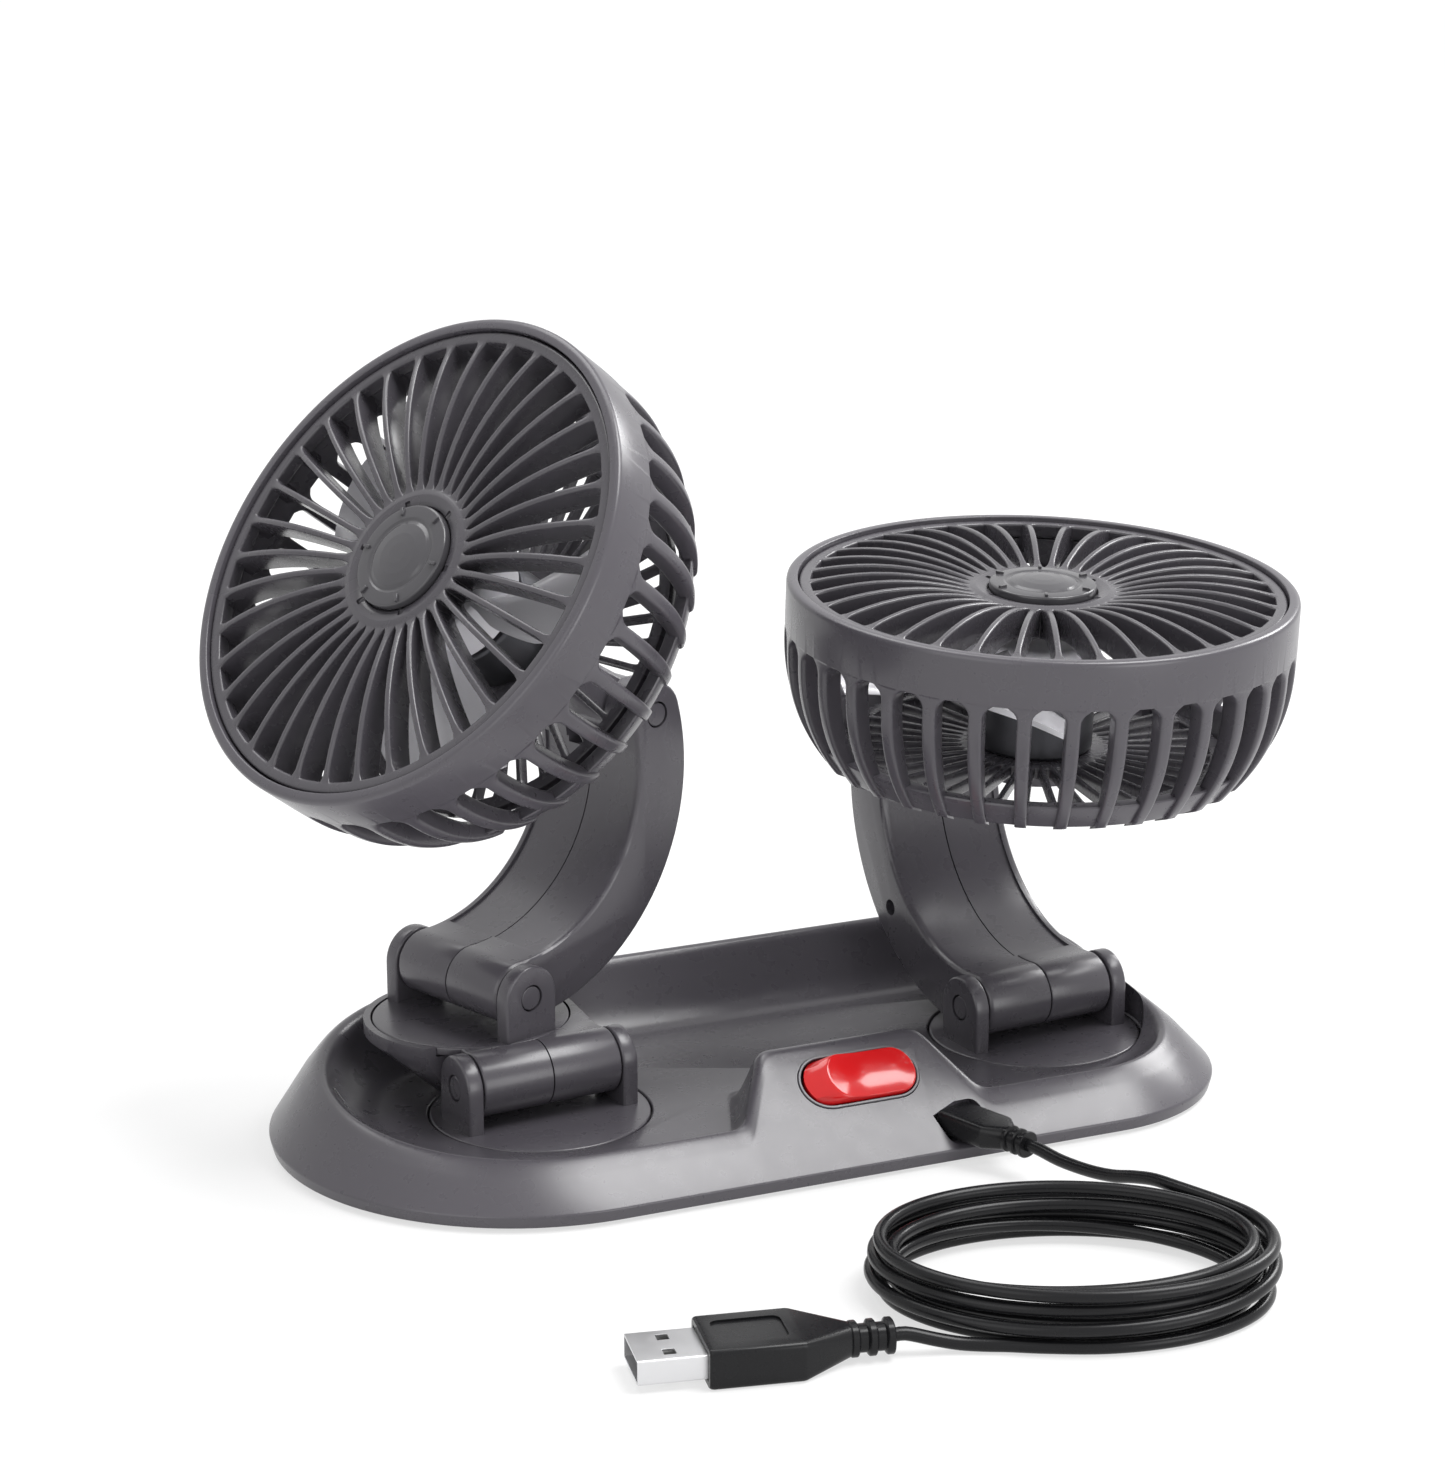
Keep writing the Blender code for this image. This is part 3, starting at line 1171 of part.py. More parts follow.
def build_cord(paints):
    """The coil, and the two free stretches that join it to the plugs with a small gap at each meeting."""
    coil = coil_points()
    print("least gap in the coil, mm:", round(least_gap(coil) * 1000, 2))
    tube("cord_coil", coil, 1, paints["cord"])
    start, way = inlet_plug_end()
    first = start + way * GAP
    into_coil = (coil[1] - coil[0]).normalized()
    last = coil[0] - into_coil * GAP
    lead = [first, first + way * CORD_DIAMETER]
    lead += [Vector(point) for point in LEAD_ROUTE]
    lead += [last - into_coil * CORD_DIAMETER, last]
    tube("cord_lead", smooth_through(lead, CORD_DIAMETER), 2, paints["cord"])
    out_of_coil = (coil[-1] - coil[-2]).normalized()
    first = coil[-1] + out_of_coil * GAP
    frame = usb_frame()
    plug_way = (frame.to_3x3() @ Vector((0, 1, 0))).normalized()
    last = frame.to_translation() - plug_way * GAP
    tail = [first, first + out_of_coil * CORD_DIAMETER]
    tail += [Vector(point) for point in TAIL_ROUTE]
    tail += [last - plug_way * CORD_DIAMETER, last]
    tube("cord_tail", smooth_through(tail, CORD_DIAMETER), 2, paints["cord"])


def main():
    wipe_scene()
    paints = {
        "body": material("body_plastic", (0.095, 0.090, 0.097), 0.42),
        "dark": material("cover_plastic", (0.050, 0.048, 0.052), 0.55),
        "rubber": material("pad_rubber", (0.020, 0.020, 0.021), 0.85),
        "blade": material("blade_plastic", (0.36, 0.36, 0.38), 0.40),
        "steel": material("steel", (0.45, 0.45, 0.46), 0.35, 1.0),
        "bright": material("plated_steel", (0.72, 0.72, 0.72), 0.22, 1.0),
        "rocker": material("rocker_red", (0.70, 0.015, 0.015), 0.15),
        "cord": material("cord_black", (0.012, 0.012, 0.013), 0.45),
        "tongue": material("tongue_white", (0.80, 0.80, 0.78), 0.50),
        "board": material("board_green", (0.02, 0.12, 0.05), 0.60),
    }
    build_base(paints["body"])
    build_underside(paints["dark"], paints["rubber"], paints["steel"])
    build_switch(paints)
    build_inlet(paints)
    left = build_turntable("left", LEFT_TURNTABLE_X, paints["body"], paints["steel"], paints["body"])
    right = build_turntable("right", RIGHT_TURNTABLE_X, paints["body"], paints["steel"], paints["body"])
    swivel = build_link(left, paints["body"], paints["steel"], paints["body"])
    left_arm = build_arm("left", swivel, LEFT_ARM_ANGLE, paints["body"], paints["body"])
    right_arm = build_arm("right", right, RIGHT_ARM_ANGLE, paints["body"], paints["body"])
    build_head("left", left_arm, LEFT_ARM_ANGLE, LEFT_HEAD_TILT, LEFT_OFFSET, LEFT_STANDOFF, paints)
    build_head("right", right_arm, RIGHT_ARM_ANGLE, RIGHT_HEAD_TILT, RIGHT_OFFSET, RIGHT_STANDOFF, paints)
    build_inlet_plug(paints)
    build_usb_plug(paints)
    build_cord(paints)


main()
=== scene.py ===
import json
import math

import bmesh
import bpy
from mathutils import Matrix, Vector


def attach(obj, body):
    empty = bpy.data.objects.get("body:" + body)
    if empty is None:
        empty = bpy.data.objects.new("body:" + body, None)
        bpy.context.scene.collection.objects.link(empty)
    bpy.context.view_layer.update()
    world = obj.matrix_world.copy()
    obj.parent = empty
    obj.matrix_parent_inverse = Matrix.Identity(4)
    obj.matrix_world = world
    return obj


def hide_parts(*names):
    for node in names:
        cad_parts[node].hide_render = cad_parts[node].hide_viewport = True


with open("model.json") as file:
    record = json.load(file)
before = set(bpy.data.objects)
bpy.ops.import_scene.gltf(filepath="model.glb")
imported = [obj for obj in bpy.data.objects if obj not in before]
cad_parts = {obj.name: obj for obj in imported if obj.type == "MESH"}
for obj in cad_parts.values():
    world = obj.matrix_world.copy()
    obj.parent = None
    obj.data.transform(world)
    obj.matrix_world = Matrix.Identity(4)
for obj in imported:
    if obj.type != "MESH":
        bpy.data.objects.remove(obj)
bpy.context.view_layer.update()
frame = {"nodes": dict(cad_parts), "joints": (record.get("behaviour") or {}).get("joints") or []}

# Sizes are in metres and angles in degrees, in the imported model's own frame.
JOINTS = {joint["name"]: joint for joint in frame["joints"]}
UP = Vector((0, 0, 1))

# Running gap, how far a cutting shape runs past what it cuts, and when two points or levels count as one
GAP = 0.0003
OVERRUN = 0.002
WELD_DISTANCE = 1e-6
SAME_LEVEL = 1e-7

# A rounded corner takes at most this share of a side, and treats a sharper turn as this one
CORNER_SHARE = 0.48
SHARPEST_TURN = 0.01

# Sides of the larger rounds
DISC_SIDES = 144
SEAT_SIDES = 120
FLANGE_SIDES = 96
PIN_SIDES = 48

# Angles past which an edge stays sharp in the shading
SHARP = 38.0
SHARP_ARM = 30.0
SHARP_PLUG = 28.0
SHARP_BASE = 48.0
SHARP_HEAD = 50.0
SHARP_ROCKER = 60.0

# Base
BASE_LENGTH = 0.1935
BASE_WIDTH = 0.100
HALF_WIDTH = BASE_WIDTH / 2
RIGHT_CORNER_RADIUS = 0.036
LEFT_END_RADIUS = BASE_WIDTH / 2
LEFT_CENTRE_X = LEFT_END_RADIUS - BASE_LENGTH / 2
RIGHT_CENTRE_X = BASE_LENGTH / 2 - RIGHT_CORNER_RADIUS
SKIRT_TOP = 0.0031
SKIRT_DRAFT = 0.0006
SKIRT_EDGE = 0.0007
SHELL_WALL = 0.0024
CREST_INSET = 0.0092
FRONT_CREST_HEIGHT = 0.0108
BACK_CREST_HEIGHT = 0.0205
CREST_RISE_POWER = 1.3
CREST_RADIUS = 0.0034
CREST_DROP_SHARE = 0.25
FLOOR_HEIGHT = 0.0070
FLOOR_THICKNESS = 0.0032
FLOOR_UNDERSIDE = FLOOR_HEIGHT - FLOOR_THICKNESS
DISH_RUN = 0.006
DISH_RUN_PER_HEIGHT = 0.75
DISH_SHARES = ((0.16, 0.10), (0.36, 0.42), (0.60, 0.77), (0.79, 0.94), (0.92, 0.992), (1.0, 1.0))
DISH_STEPS = 4
FRONT_SLOPE = 40.0
FRONT_FACING = -0.999
PAD_THICKNESS = 0.0008
COVER_TOP = 0.0019
SCREW_INSET = 0.0102
SCREW_WALL = 0.0022
SCREW_RADIUS = 0.0012
SCREW_TIP = 0.0050
LEFT_END_STEPS = 72
CORNER_STEPS = 24
BACK_STEPS = 24
FRONT_SIDE_STEPS = 8

# Switch boss; its flank, measured in the sloping face, is a straight stretch between two round corners
BOSS_CENTRE_X = 0.0085
BOSS_TOP_LENGTH = 0.029
BOSS_CORNER_RADIUS = 0.0042
BOSS_FLANK_ANGLE = 62.0
BOSS_HEIGHT = 0.0212
FLANK_DROP = (BOSS_HEIGHT - FRONT_CREST_HEIGHT) / math.sin(math.radians(FRONT_SLOPE))
FLANK_TAN = math.tan(math.radians(BOSS_FLANK_ANGLE))
CORNER_RUN = BOSS_CORNER_RADIUS * math.sin(math.radians(BOSS_FLANK_ANGLE))
CORNER_DROP = BOSS_CORNER_RADIUS * (1 - math.cos(math.radians(BOSS_FLANK_ANGLE)))
BOSS_FLANK = 2 * CORNER_RUN + (FLANK_DROP - 2 * CORNER_DROP) / FLANK_TAN
FLANK_STEPS = 18
BOSS_TOP_STEPS = 8

# Turntables and their clevises
TURNTABLE_RADIUS = 0.0217
DISC_THICKNESS = 0.0017
DISC_EDGE = 0.0005
RECESS_EDGE = 0.0005
RECESS_EDGE_SHARE = 0.3
STUB_RADIUS = 0.0060
CLEVIS_WIDTH = 0.0370
EAR_THICKNESS = 0.0033
EAR_EDGE = 0.0005
PIN_HEIGHT = 0.0080
PIN_RADIUS = 0.0024
BARREL_RADIUS = 0.0064
BARREL_LENGTH = CLEVIS_WIDTH - 2 * EAR_THICKNESS - 2 * GAP

# Link and second turntable of the left head
LINK_REACH_X = -0.0045
LINK_REACH_Y = 0.0212
LINK_PLATE_THICKNESS = 0.0019
LINK_WALL = 0.0017
LINK_RIM_HEIGHT = 0.0026
LINK_EDGE = 0.0004
LINK_FLATNESS = 0.5
SWIVEL_RADIUS = 0.0196
SWIVEL_STUB_RADIUS = 0.0045

# Arms
ARM_CHORD = 0.062
ARM_SAG = 0.0155
ARM_SEAM = 0.0003
ARM_EDGE = 0.0010
SEAM_EDGE = 0.0002
RAIL_WIDTH = 0.0018
RAIL_HEIGHT = 0.0005
CHANNEL_SHARE = 0.80
FORK_WIDTH = 0.0130
FORK_RADIUS = 0.0100
ARM_SCREW_HOLE_RADIUS = 0.0017
ARM_SCREW_HOLE_DEPTH = 0.0050

# Heads: heights are measured back from the plane of the front rim
HEAD_RADIUS = 0.0515
HEAD_DEPTH = 0.0365
RIM_EDGE = 0.0012
BAND_DEPTH = 0.0098
REAR_NARROWING_SHARE = 0.165
STRAIGHT_SHARE = 0.30
NARROWING_POWER = 2.4
REAR_RING_START = 0.0312
REAR_RING_SET_IN = 0.0009
REAR_RADIUS = HEAD_RADIUS * (1 - REAR_NARROWING_SHARE)
GRILLE_SEAT_RADIUS = 0.0492
GRILLE_SEAT_DEPTH = 0.0042

# Ribs of a head's side; a slot's top is rounded by ribs that flare there, a little short of a full round
RIB_COUNT = 34
RIB_WIDTH = 0.0029
RIB_DEPTH = 0.0042
RIB_EDGE = 0.0008
RIB_SLIMMING_SHARE = 0.18
RIB_LEAN_SHARE = 0.5
RIB_ROWS = 26
RIB_ROW_POWER = 1.6
SLOT_TOP_RADIUS = 0.0028
SLOT_FLARE_SHARE = 0.93
SLOT_RISE_LIMIT = 0.96

# Grilles and hub caps
GRILLE_RING_WIDTH = 0.0024
VANE_COUNT = 36
VANE_WIDTH = 0.0013
VANE_DEPTH = 0.0062
VANE_BOW = 0.0022
VANE_FILLET = 0.0016
VANE_SET_BACK = 0.0008
BAR_STATIONS = 14
BAR_CORNER_SHARE = 0.42
BAR_FLARE_SHARE = 0.8
BAR_RISE_LIMIT = 0.98
HUB_RADIUS = 0.0150
HUB_RIM_INSET = 0.0016
HUB_SEAT_LIP = 0.0009
HUB_NOTCH_COUNT = 6
HUB_NOTCH_WIDTH = 0.0013
HUB_NOTCH_LENGTH = 0.0016
HUB_CAP_RADIUS = 0.0108
HUB_CAP_DEPTH = 0.0020
HUB_CAP_SHARES = ((0.0, 0.0), (1.0, 0.0), (1.0, 1.05), (0.74, 1.12), (0.68, 0.98), (0.60, 1.20), (0.40, 1.42),
                  (0.20, 1.52), (0.0, 1.55))
TICK_START_SHARE = 0.82
TICK_TOP = 3.2 * GAP
TICK_HALF_WIDTH = HUB_NOTCH_WIDTH / 4
REAR_BAR_COUNT = 40
REAR_BAR_WIDTH = 0.0011
REAR_BAR_DEPTH = 0.0026
REAR_RING_WIDTH = 0.0028
REAR_HUB_RADIUS = 0.0150

# Motors and fan wheels
MOTOR_RADIUS = 0.0118
MOTOR_LENGTH = 0.0120
MOTOR_STEP_SHARE = 0.45
MOTOR_SIDES = 72
SHAFT_RADIUS = 0.0011
IMPELLER_RADIUS = 0.0430
IMPELLER_HUB_RADIUS = 0.0125
IMPELLER_HUB_LENGTH = 0.0095
IMPELLER_HUB_EDGE = 0.0020
IMPELLER_SIDES = 90
HUB_CLEARANCE = 0.0012
BLADE_COUNT = 5
BLADE_THICKNESS = 0.0012
BLADE_SPAN = 0.0088
BLADE_SWEEP = 46.0
BLADE_WIDTH_SHARES = (0.64, 0.95, 0.98, 0.60)
BLADE_ROOT_SHARE = 0.8
BLADE_LEAN_SHARE = 0.35
BLADE_FLATTEN_SHARE = 0.25
BLADE_RIM_SHARE = 0.02
BLADE_STATIONS = 18
BLADE_CHORD_POINTS = 14

# Brackets between the arms and the heads
STANDOFF = {"left": 0.0285, "right": 0.0082}
OFFSET = {"left": 0.0, "right": 0.0400}
KNUCKLE_RADIUS = 0.0058
STEM_THICKNESS = 0.0046
FLANGE_RADIUS = 0.0120
FLANGE_THICKNESS = 0.0024
STEM_CORNER_SHARE = 0.5
STEM_SHARES = ((0.0, 1.0), (0.3, 0.86), (0.6, 0.8), (0.84, 1.0), (0.93, 1.16), (1.0, 1.45))

# Switch
ROCKER_X = 0.0094
ROCKER_UP_SLOPE = 0.0191
ROCKER_LENGTH = 0.0238
ROCKER_WIDTH = 0.0100
ROCKER_DEPTH = 0.0050
ROCKER_STAND = 0.0012
ROCKER_ANGLE = 5.0
ROCKER_EDGE = 0.0007
ROCKER_VALLEY = 0.0012
ROCKER_END_RUN = 0.0044
ROCKER_END_STEPS = 16
ROCKER_SIDE_STEPS = 20
# Levels of the rocker: shares of its length and width, of the edge below its top, and of the end's cut back
ROCKER_LEVEL_SHARES = ((0.99, 1.0, 3.6, 0), (0.99, 1.0, 0.75, 0.78), (0.984, 0.988, 0.30, 0.93),
                       (0.972, 0.968, 0.07, 0.98), (0.956, 0.944, 0.0, 1.0))
ROCKER_FOOT_SHARE = 0.90
BEZEL_WALL = 0.0006
WINDOW_CLEARANCE = 1.4 * GAP
SWITCH_DEPTH = 0.0085
SWITCH_FLOOR = 0.0010

# Inlet, the plug in it and the board behind it; the share tables go from a plug's tip to its rear
INLET_X = 0.02635
INLET_SET_BACK = 0.0076
INLET_Y = INLET_SET_BACK - HALF_WIDTH
INLET_HEIGHT = 0.0069
INLET_YAW = 18.0
INLET_BLOCK_LENGTH = 0.0055
INLET_PLUG_WIDTH = 0.0090
INLET_PLUG_THICKNESS = 0.0048
INLET_PLUG_LENGTH = 0.0120
INLET_PLUG_CORNER_SHARE = 0.32
INLET_SHOULDER = 0.0030
INLET_RELIEF_LENGTH = 0.0055
RELIEF_RADIUS = 0.0025
RELIEF_GROOVES = 2
RELIEF_GROOVE_SHARE = 0.78
RELIEF_RING_SHARES = ((0.08, 0.94), (0.2, 1.0), (0.8, 1.0), (0.92, 0.94))
BOARD_THICKNESS = 0.0011
BOARD_LENGTH = 0.046
BOARD_WIDTH = 0.024

# Cord and its coil
CORD_DIAMETER = 0.0025
CORD_RADIUS = CORD_DIAMETER / 2
CORD_LIFT = 0.0001
CORD_REST = CORD_RADIUS + CORD_LIFT
CORD_ROUNDNESS = 5
COIL_CENTRE = Vector((0.0140, -0.1115, 0))
COIL_LONG_RADIUS = 0.0365
COIL_SHORT_RADIUS = 0.0270
COIL_TURN_ANGLE = -24.6
COIL_PITCH = 0.0036
COIL_LAYER_PITCH = 0.00297
COIL_LAYERS = 4
COIL_WHOLE_TURNS = 6
COIL_START = 40.0
COIL_END = -100.0
CLIMB_TURNS = 0.5
POINTS_PER_LOOP = 24
CURVE_STEPS = 12
CORD_SPACING = 0.0011
# The free stretches: (x, y, height), inlet plug to coil and coil to USB plug
LEAD_ROUTE = ((0.0352, -0.0700, 0.0063), (0.0373, -0.0770, 0.0065), (0.0390, -0.0830, 0.0074),
              (0.0405, -0.0880, 0.0088), (0.0419, -0.0930, 0.0099), (0.0434, -0.0985, 0.01025))
TAIL_ROUTE = ((-0.0085, -0.1297, 0.00135), (-0.0122, -0.1278, 0.00135), (-0.0160, -0.1260, 0.0016),
              (-0.0198, -0.1245, 0.0024))

# USB plug at the far end
USB_X = -0.0271
USB_Y = -0.1222
USB_YAW = 168.0
USB_BODY_WIDTH = 0.0158
USB_BODY_THICKNESS = 0.0074
USB_BODY_LENGTH = 0.0170
USB_BODY_CORNER_SHARE = 0.16
USB_TAPER_LENGTH = 0.0090
USB_RELIEF_LENGTH = 0.0080
USB_RELIEF_RADIUS = 0.0031
USB_SHELL_WIDTH = 0.0120
USB_SHELL_THICKNESS = 0.0045
USB_SHELL_LENGTH = 0.0122
USB_SHELL_WALL = 0.0004
USB_SHELL_BURIED = 0.0030
USB_TONGUE_THICKNESS = 0.0018
USB_WINDOW = 0.0022
USB_PANEL_LENGTH = 0.0125
USB_PANEL_WIDTH = 0.0092
USB_PANEL_CORNER = USB_PANEL_WIDTH / 5
USB_PANEL_DEPTH = 0.0004

# The camera that the photograph was fitted with, for an upright frame of 1445 by 1483
CAMERA_PLACE = (-0.31845, -0.6878, 0.2925)
CAMERA_TURN = (74.0, 0.0, -24.6)
CAMERA_LENS = 97.1
CAMERA_SENSOR = 36.0

# Soft lamps: name, place, size and power in watts; each looks at the middle of the object
LAMPS = (("fill", (-0.9, -0.6, 0.5), 0.8, 2.6), ("top", (-0.1, 0.5, 1.1), 0.7, 6.0),
         ("front", (0.35, -1.0, 0.25), 0.5, 2.5), ("rim", (0.75, 0.25, 0.55), 0.3, 3.5))
LAMP_TARGET = Vector((0, 0, 0.06))
# The main light is a wide soft disc far away, so that it lights the whole floor evenly
MAIN_LIGHT_FROM = Vector((0.42, -0.15, 0.95))
MAIN_LIGHT_WIDTH = 34.0
MAIN_LIGHT_STRENGTH = 3.1
WHITE = (1.0, 1.0, 1.0, 1)
AMBIENT_STRENGTH = 0.31
FLOOR_COLOUR = (0.86, 0.86, 0.86, 1)
FLOOR_ROUGHNESS = 0.9
FLOOR_GLOW_SHARE = 0.66
FLOOR_REACH = 6.0
FLOOR_DROP = 0.00005

# Sizes of the patches in a finish, and how fine their noise is
TONE_PATCH = 0.014
RUB_PATCH = 0.004
GRAIN_DETAIL = 3.0
TONE_DETAIL = 4.0
RUB_DETAIL = 5.0
RUB_RANGE = (0.3, 0.7)
COAT_ROUGHNESS = 0.08


# Finishes

def new_material(name):
    made = bpy.data.materials.new(name)
    made.use_nodes = True
    return made, made.node_tree.nodes, made.node_tree.links


def fill(node, values):
    for socket, value in values.items():
        node.inputs[socket].default_value = value


def wire(links, *joins):
    """Links, each given as a node and its output, and the next node and its input."""
    for source, output, target, entry in joins:
        links.new(source.outputs[output], target.inputs[entry])


def noise(nodes, links, size, detail, stretch=(1, 1, 1)):
    """Noise in the piece's own coordinates, with features of about the given size."""
    coords, mapping = nodes.new("ShaderNodeTexCoord"), nodes.new("ShaderNodeMapping")
    texture = nodes.new("ShaderNodeTexNoise")
    fill(mapping, {"Scale": stretch})
    fill(texture, {"Scale": 1 / size, "Detail": detail})
    wire(links, (coords, "Object", mapping, "Vector"), (mapping, "Vector", texture, "Vector"))
    return texture


def finish(name, colour, roughness, grain=0.0005, relief=0.00002, mottle=0.06, metallic=0.0, coat=0.0,
           stretch=(1, 1, 1), spread=0.06, specular=0.5):
    """A moulded or machined finish: fine relief, patchy roughness and a slight change of tone."""
    made, nodes, links = new_material(name)
    shader = nodes["Principled BSDF"]
    fill(shader, {"Metallic": metallic, "Coat Weight": coat, "Coat Roughness": COAT_ROUGHNESS,
                  "Specular IOR Level": specular})
    fine = noise(nodes, links, grain, GRAIN_DETAIL, stretch)
    broad = noise(nodes, links, TONE_PATCH, TONE_DETAIL)
    patch = noise(nodes, links, RUB_PATCH, RUB_DETAIL)
    bump, rub = nodes.new("ShaderNodeBump"), nodes.new("ShaderNodeMapRange")
    tone = nodes.new("ShaderNodeMix")
    tone.data_type = "RGBA"
    fill(bump, {"Strength": 1.0, "Distance": relief})
    fill(tone, {"A": (*[c * (1 - mottle) for c in colour], 1), "B": (*[c * (1 + mottle) for c in colour], 1)})
    fill(rub, {"From Min": RUB_RANGE[0], "From Max": RUB_RANGE[1], "To Min": roughness - spread,
               "To Max": roughness + spread})
    wire(links, (fine, "Fac", bump, "Height"), (bump, "Normal", shader, "Normal"),
         (broad, "Fac", tone, "Factor"), (tone, "Result", shader, "Base Color"),
         (patch, "Fac", rub, "Value"), (rub, "Result", shader, "Roughness"))
    return made


BODY_PLASTIC = finish("satin dark grey plastic", (0.073, 0.068, 0.079), 0.28, grain=0.0004,
                      relief=0.000002, mottle=0.03, spread=0.015)
GRILLE_PLASTIC = finish("satin dark grey plastic of the grilles", (0.062, 0.058, 0.067), 0.27,
                        grain=0.0004, relief=0.000002, mottle=0.03, spread=0.015)
CAP_PLASTIC = finish("polished dark plastic", (0.062, 0.060, 0.066), 0.20, relief=0.000002,
                     spread=0.02, specular=0.45)
COVER_PLASTIC = finish("grained near-black plastic", (0.050, 0.048, 0.052), 0.55,
                       relief=0.00004)
PAD_RUBBER = finish("soft black pad", (0.020, 0.020, 0.021), 0.80, grain=0.0009, relief=0.00006)
BLADE_PLASTIC = finish("smooth light grey plastic", (0.83, 0.82, 0.86), 0.24,
                       relief=0.000004, mottle=0.03, coat=0.4, spread=0.03)
STEEL = finish("turned steel", (0.45, 0.45, 0.46), 0.34, grain=0.0004, relief=0.000008, metallic=1.0,
               stretch=(1, 1, 8))
DARK_STEEL = finish("blackened steel", (0.10, 0.10, 0.11), 0.42, grain=0.0004, relief=0.000008,
                    metallic=1.0)
BRIGHT_STEEL = finish("bright plated sheet", (0.66, 0.66, 0.67), 0.34, grain=0.0006,
                      relief=0.000002, metallic=1.0, mottle=0.03, spread=0.03)
ROCKER_RED = finish("glossy red plastic", (0.62, 0.010, 0.012), 0.15, relief=0.000002,
                    mottle=0.04, coat=0.3, spread=0.02, specular=0.35)
CORD_BLACK = finish("soft black jacket", (0.008, 0.008, 0.009), 0.27, relief=0.000004,
                    spread=0.02, specular=0.22)
TONGUE_PLASTIC = finish("white insulating plastic", (0.42, 0.42, 0.41), 0.45)
BOARD_GREEN = finish("green board", (0.02, 0.12, 0.05), 0.45, mottle=0.15)


# Shapes

def spaced(first, last, steps):
    """Even steps from first towards last, without last."""
    return [first + (last - first) * i / steps for i in range(steps)]


def polar(radius, angle):
    return radius * math.cos(angle), radius * math.sin(angle)


def arc(centre, radius, first, span, steps):
    """Points of an arc with both its ends, its angles in radians."""
    points = [polar(radius, first + span * i / steps) for i in range(steps + 1)]
    return [(centre[0] + x, centre[1] + y) for x, y in points]


def circle(centre, radius, sides):
    return arc(centre, radius, 0, 2 * math.pi, sides)[:-1]


def smooth_step(value):
    value = min(max(value, 0.0), 1.0)
    return value * value * (3 - 2 * value)


def smooth_curve(points, steps):
    """A smooth curve through points, with the given steps to each stretch."""
    path = [points[0] * 2 - points[1]] + points + [points[-1] * 2 - points[-2]]
    fine = []
    for p0, p1, p2, p3 in zip(path, path[1:], path[2:], path[3:]):
        for i in range(steps):
            t = i / steps
            fine.append(0.5 * ((2 * p1) + (p2 - p0) * t + (2 * p0 - 5 * p1 + 4 * p2 - p3) * t ** 2
                               + (3 * p1 - p0 - 3 * p2 + p3) * t ** 3))
    return fine + [points[-1]]


def skin(rings, hoop=False, lid=True):
    """A solid over rings of points; a ring of one point is a pole, and a hoop joins its two end rings."""
    shape = bmesh.new()
    rows = [[shape.verts.new(point) for point in ring] for ring in rings]
    pairs = list(zip(rows, rows[1:]))
    if hoop:
        pairs.append((rows[-1], rows[0]))
    for low, high in pairs:
        count = max(len(low), len(high))
        for i in range(count):
            j = (i + 1) % count
            if len(low) == 1:
                shape.faces.new((low[0], high[j], high[i]))
            elif len(high) == 1:
                shape.faces.new((low[i], low[j], high[0]))
            else:
                shape.faces.new((low[i], low[j], high[j], high[i]))
    ends = [] if hoop else [rows[0], rows[-1]] if lid else [rows[0]]
    for row in ends:
        if len(row) > 2:
            shape.faces.new(row)
    bmesh.ops.recalc_face_normals(shape, faces=shape.faces)
    return shape


def rounded(points, radius, steps=4, closed=True):
    """An outline with its corners rounded; a point may carry its own radius as a third value."""
    smooth = []
    count = len(points)
    for i, point in enumerate(points):
        here = Vector(point[:2])
        if not closed and i in (0, count - 1):
            smooth.append(here)
            continue
        size = point[2] if len(point) > 2 else radius
        before = Vector(points[i - 1][:2]) - here
        after = Vector(points[(i + 1) % count][:2]) - here
        reach = size / max(math.tan(before.angle(after) / 2), SHARPEST_TURN)
        reach = min(reach, before.length * CORNER_SHARE, after.length * CORNER_SHARE)
        start = here + before.normalized() * reach
        end = here + after.normalized() * reach
        for k in range(steps + 1):
            t = k / steps
            smooth.append(start * (1 - t) ** 2 + here * (2 * t * (1 - t)) + end * t ** 2)
    return smooth


def turned(profile, sides, hoop=False):
    """A profile of (radius, height) points turned about Z."""
    rings = []
    for radius, height in profile:
        if radius < SAME_LEVEL:
            rings.append([Vector((0, 0, height))])
        else:
            rings.append([Vector((x, y, height)) for x, y in circle((0, 0), radius, sides)])
    return skin(rings, hoop)


def lathe(profile, sides, radius=GAP, steps=3):
    """A profile from axis to axis with rounded corners, turned about Z."""
    return turned(rounded(profile, radius, steps, closed=False), sides)


def hoop_of(profile, sides, radius=GAP):
    """A closed profile with rounded corners, turned into a hoop about Z."""
    return turned(rounded(profile, radius, 3), sides, hoop=True)


def soften(shape, edges, size):
    bmesh.ops.bevel(shape, geom=edges, offset=size, segments=3, profile=0.5, affect="EDGES",
                    clamp_overlap=True)


def prism(outline, low, high, axis="Z", edge=0.0):
    """An outline run from low to high along an axis, its two rims rounded by edge."""
    index = "XYZ".index(axis)
    rings = []
    for level in (low, high):
        ring = []
        for a, b in outline:
            point = [a, b]
            point.insert(index, level)
            ring.append(Vector(point))
        rings.append(ring)
    shape = skin(rings)
    if edge:
        soften(shape, [e for e in shape.edges
                       if abs(e.verts[0].co[index] - e.verts[1].co[index]) < SAME_LEVEL], edge)
    return shape


def cylinder(radius, low, high, axis="Z", centre=(0, 0), sides=64, edge=0.0):
    return prism(circle(centre, radius, sides), low, high, axis, edge)


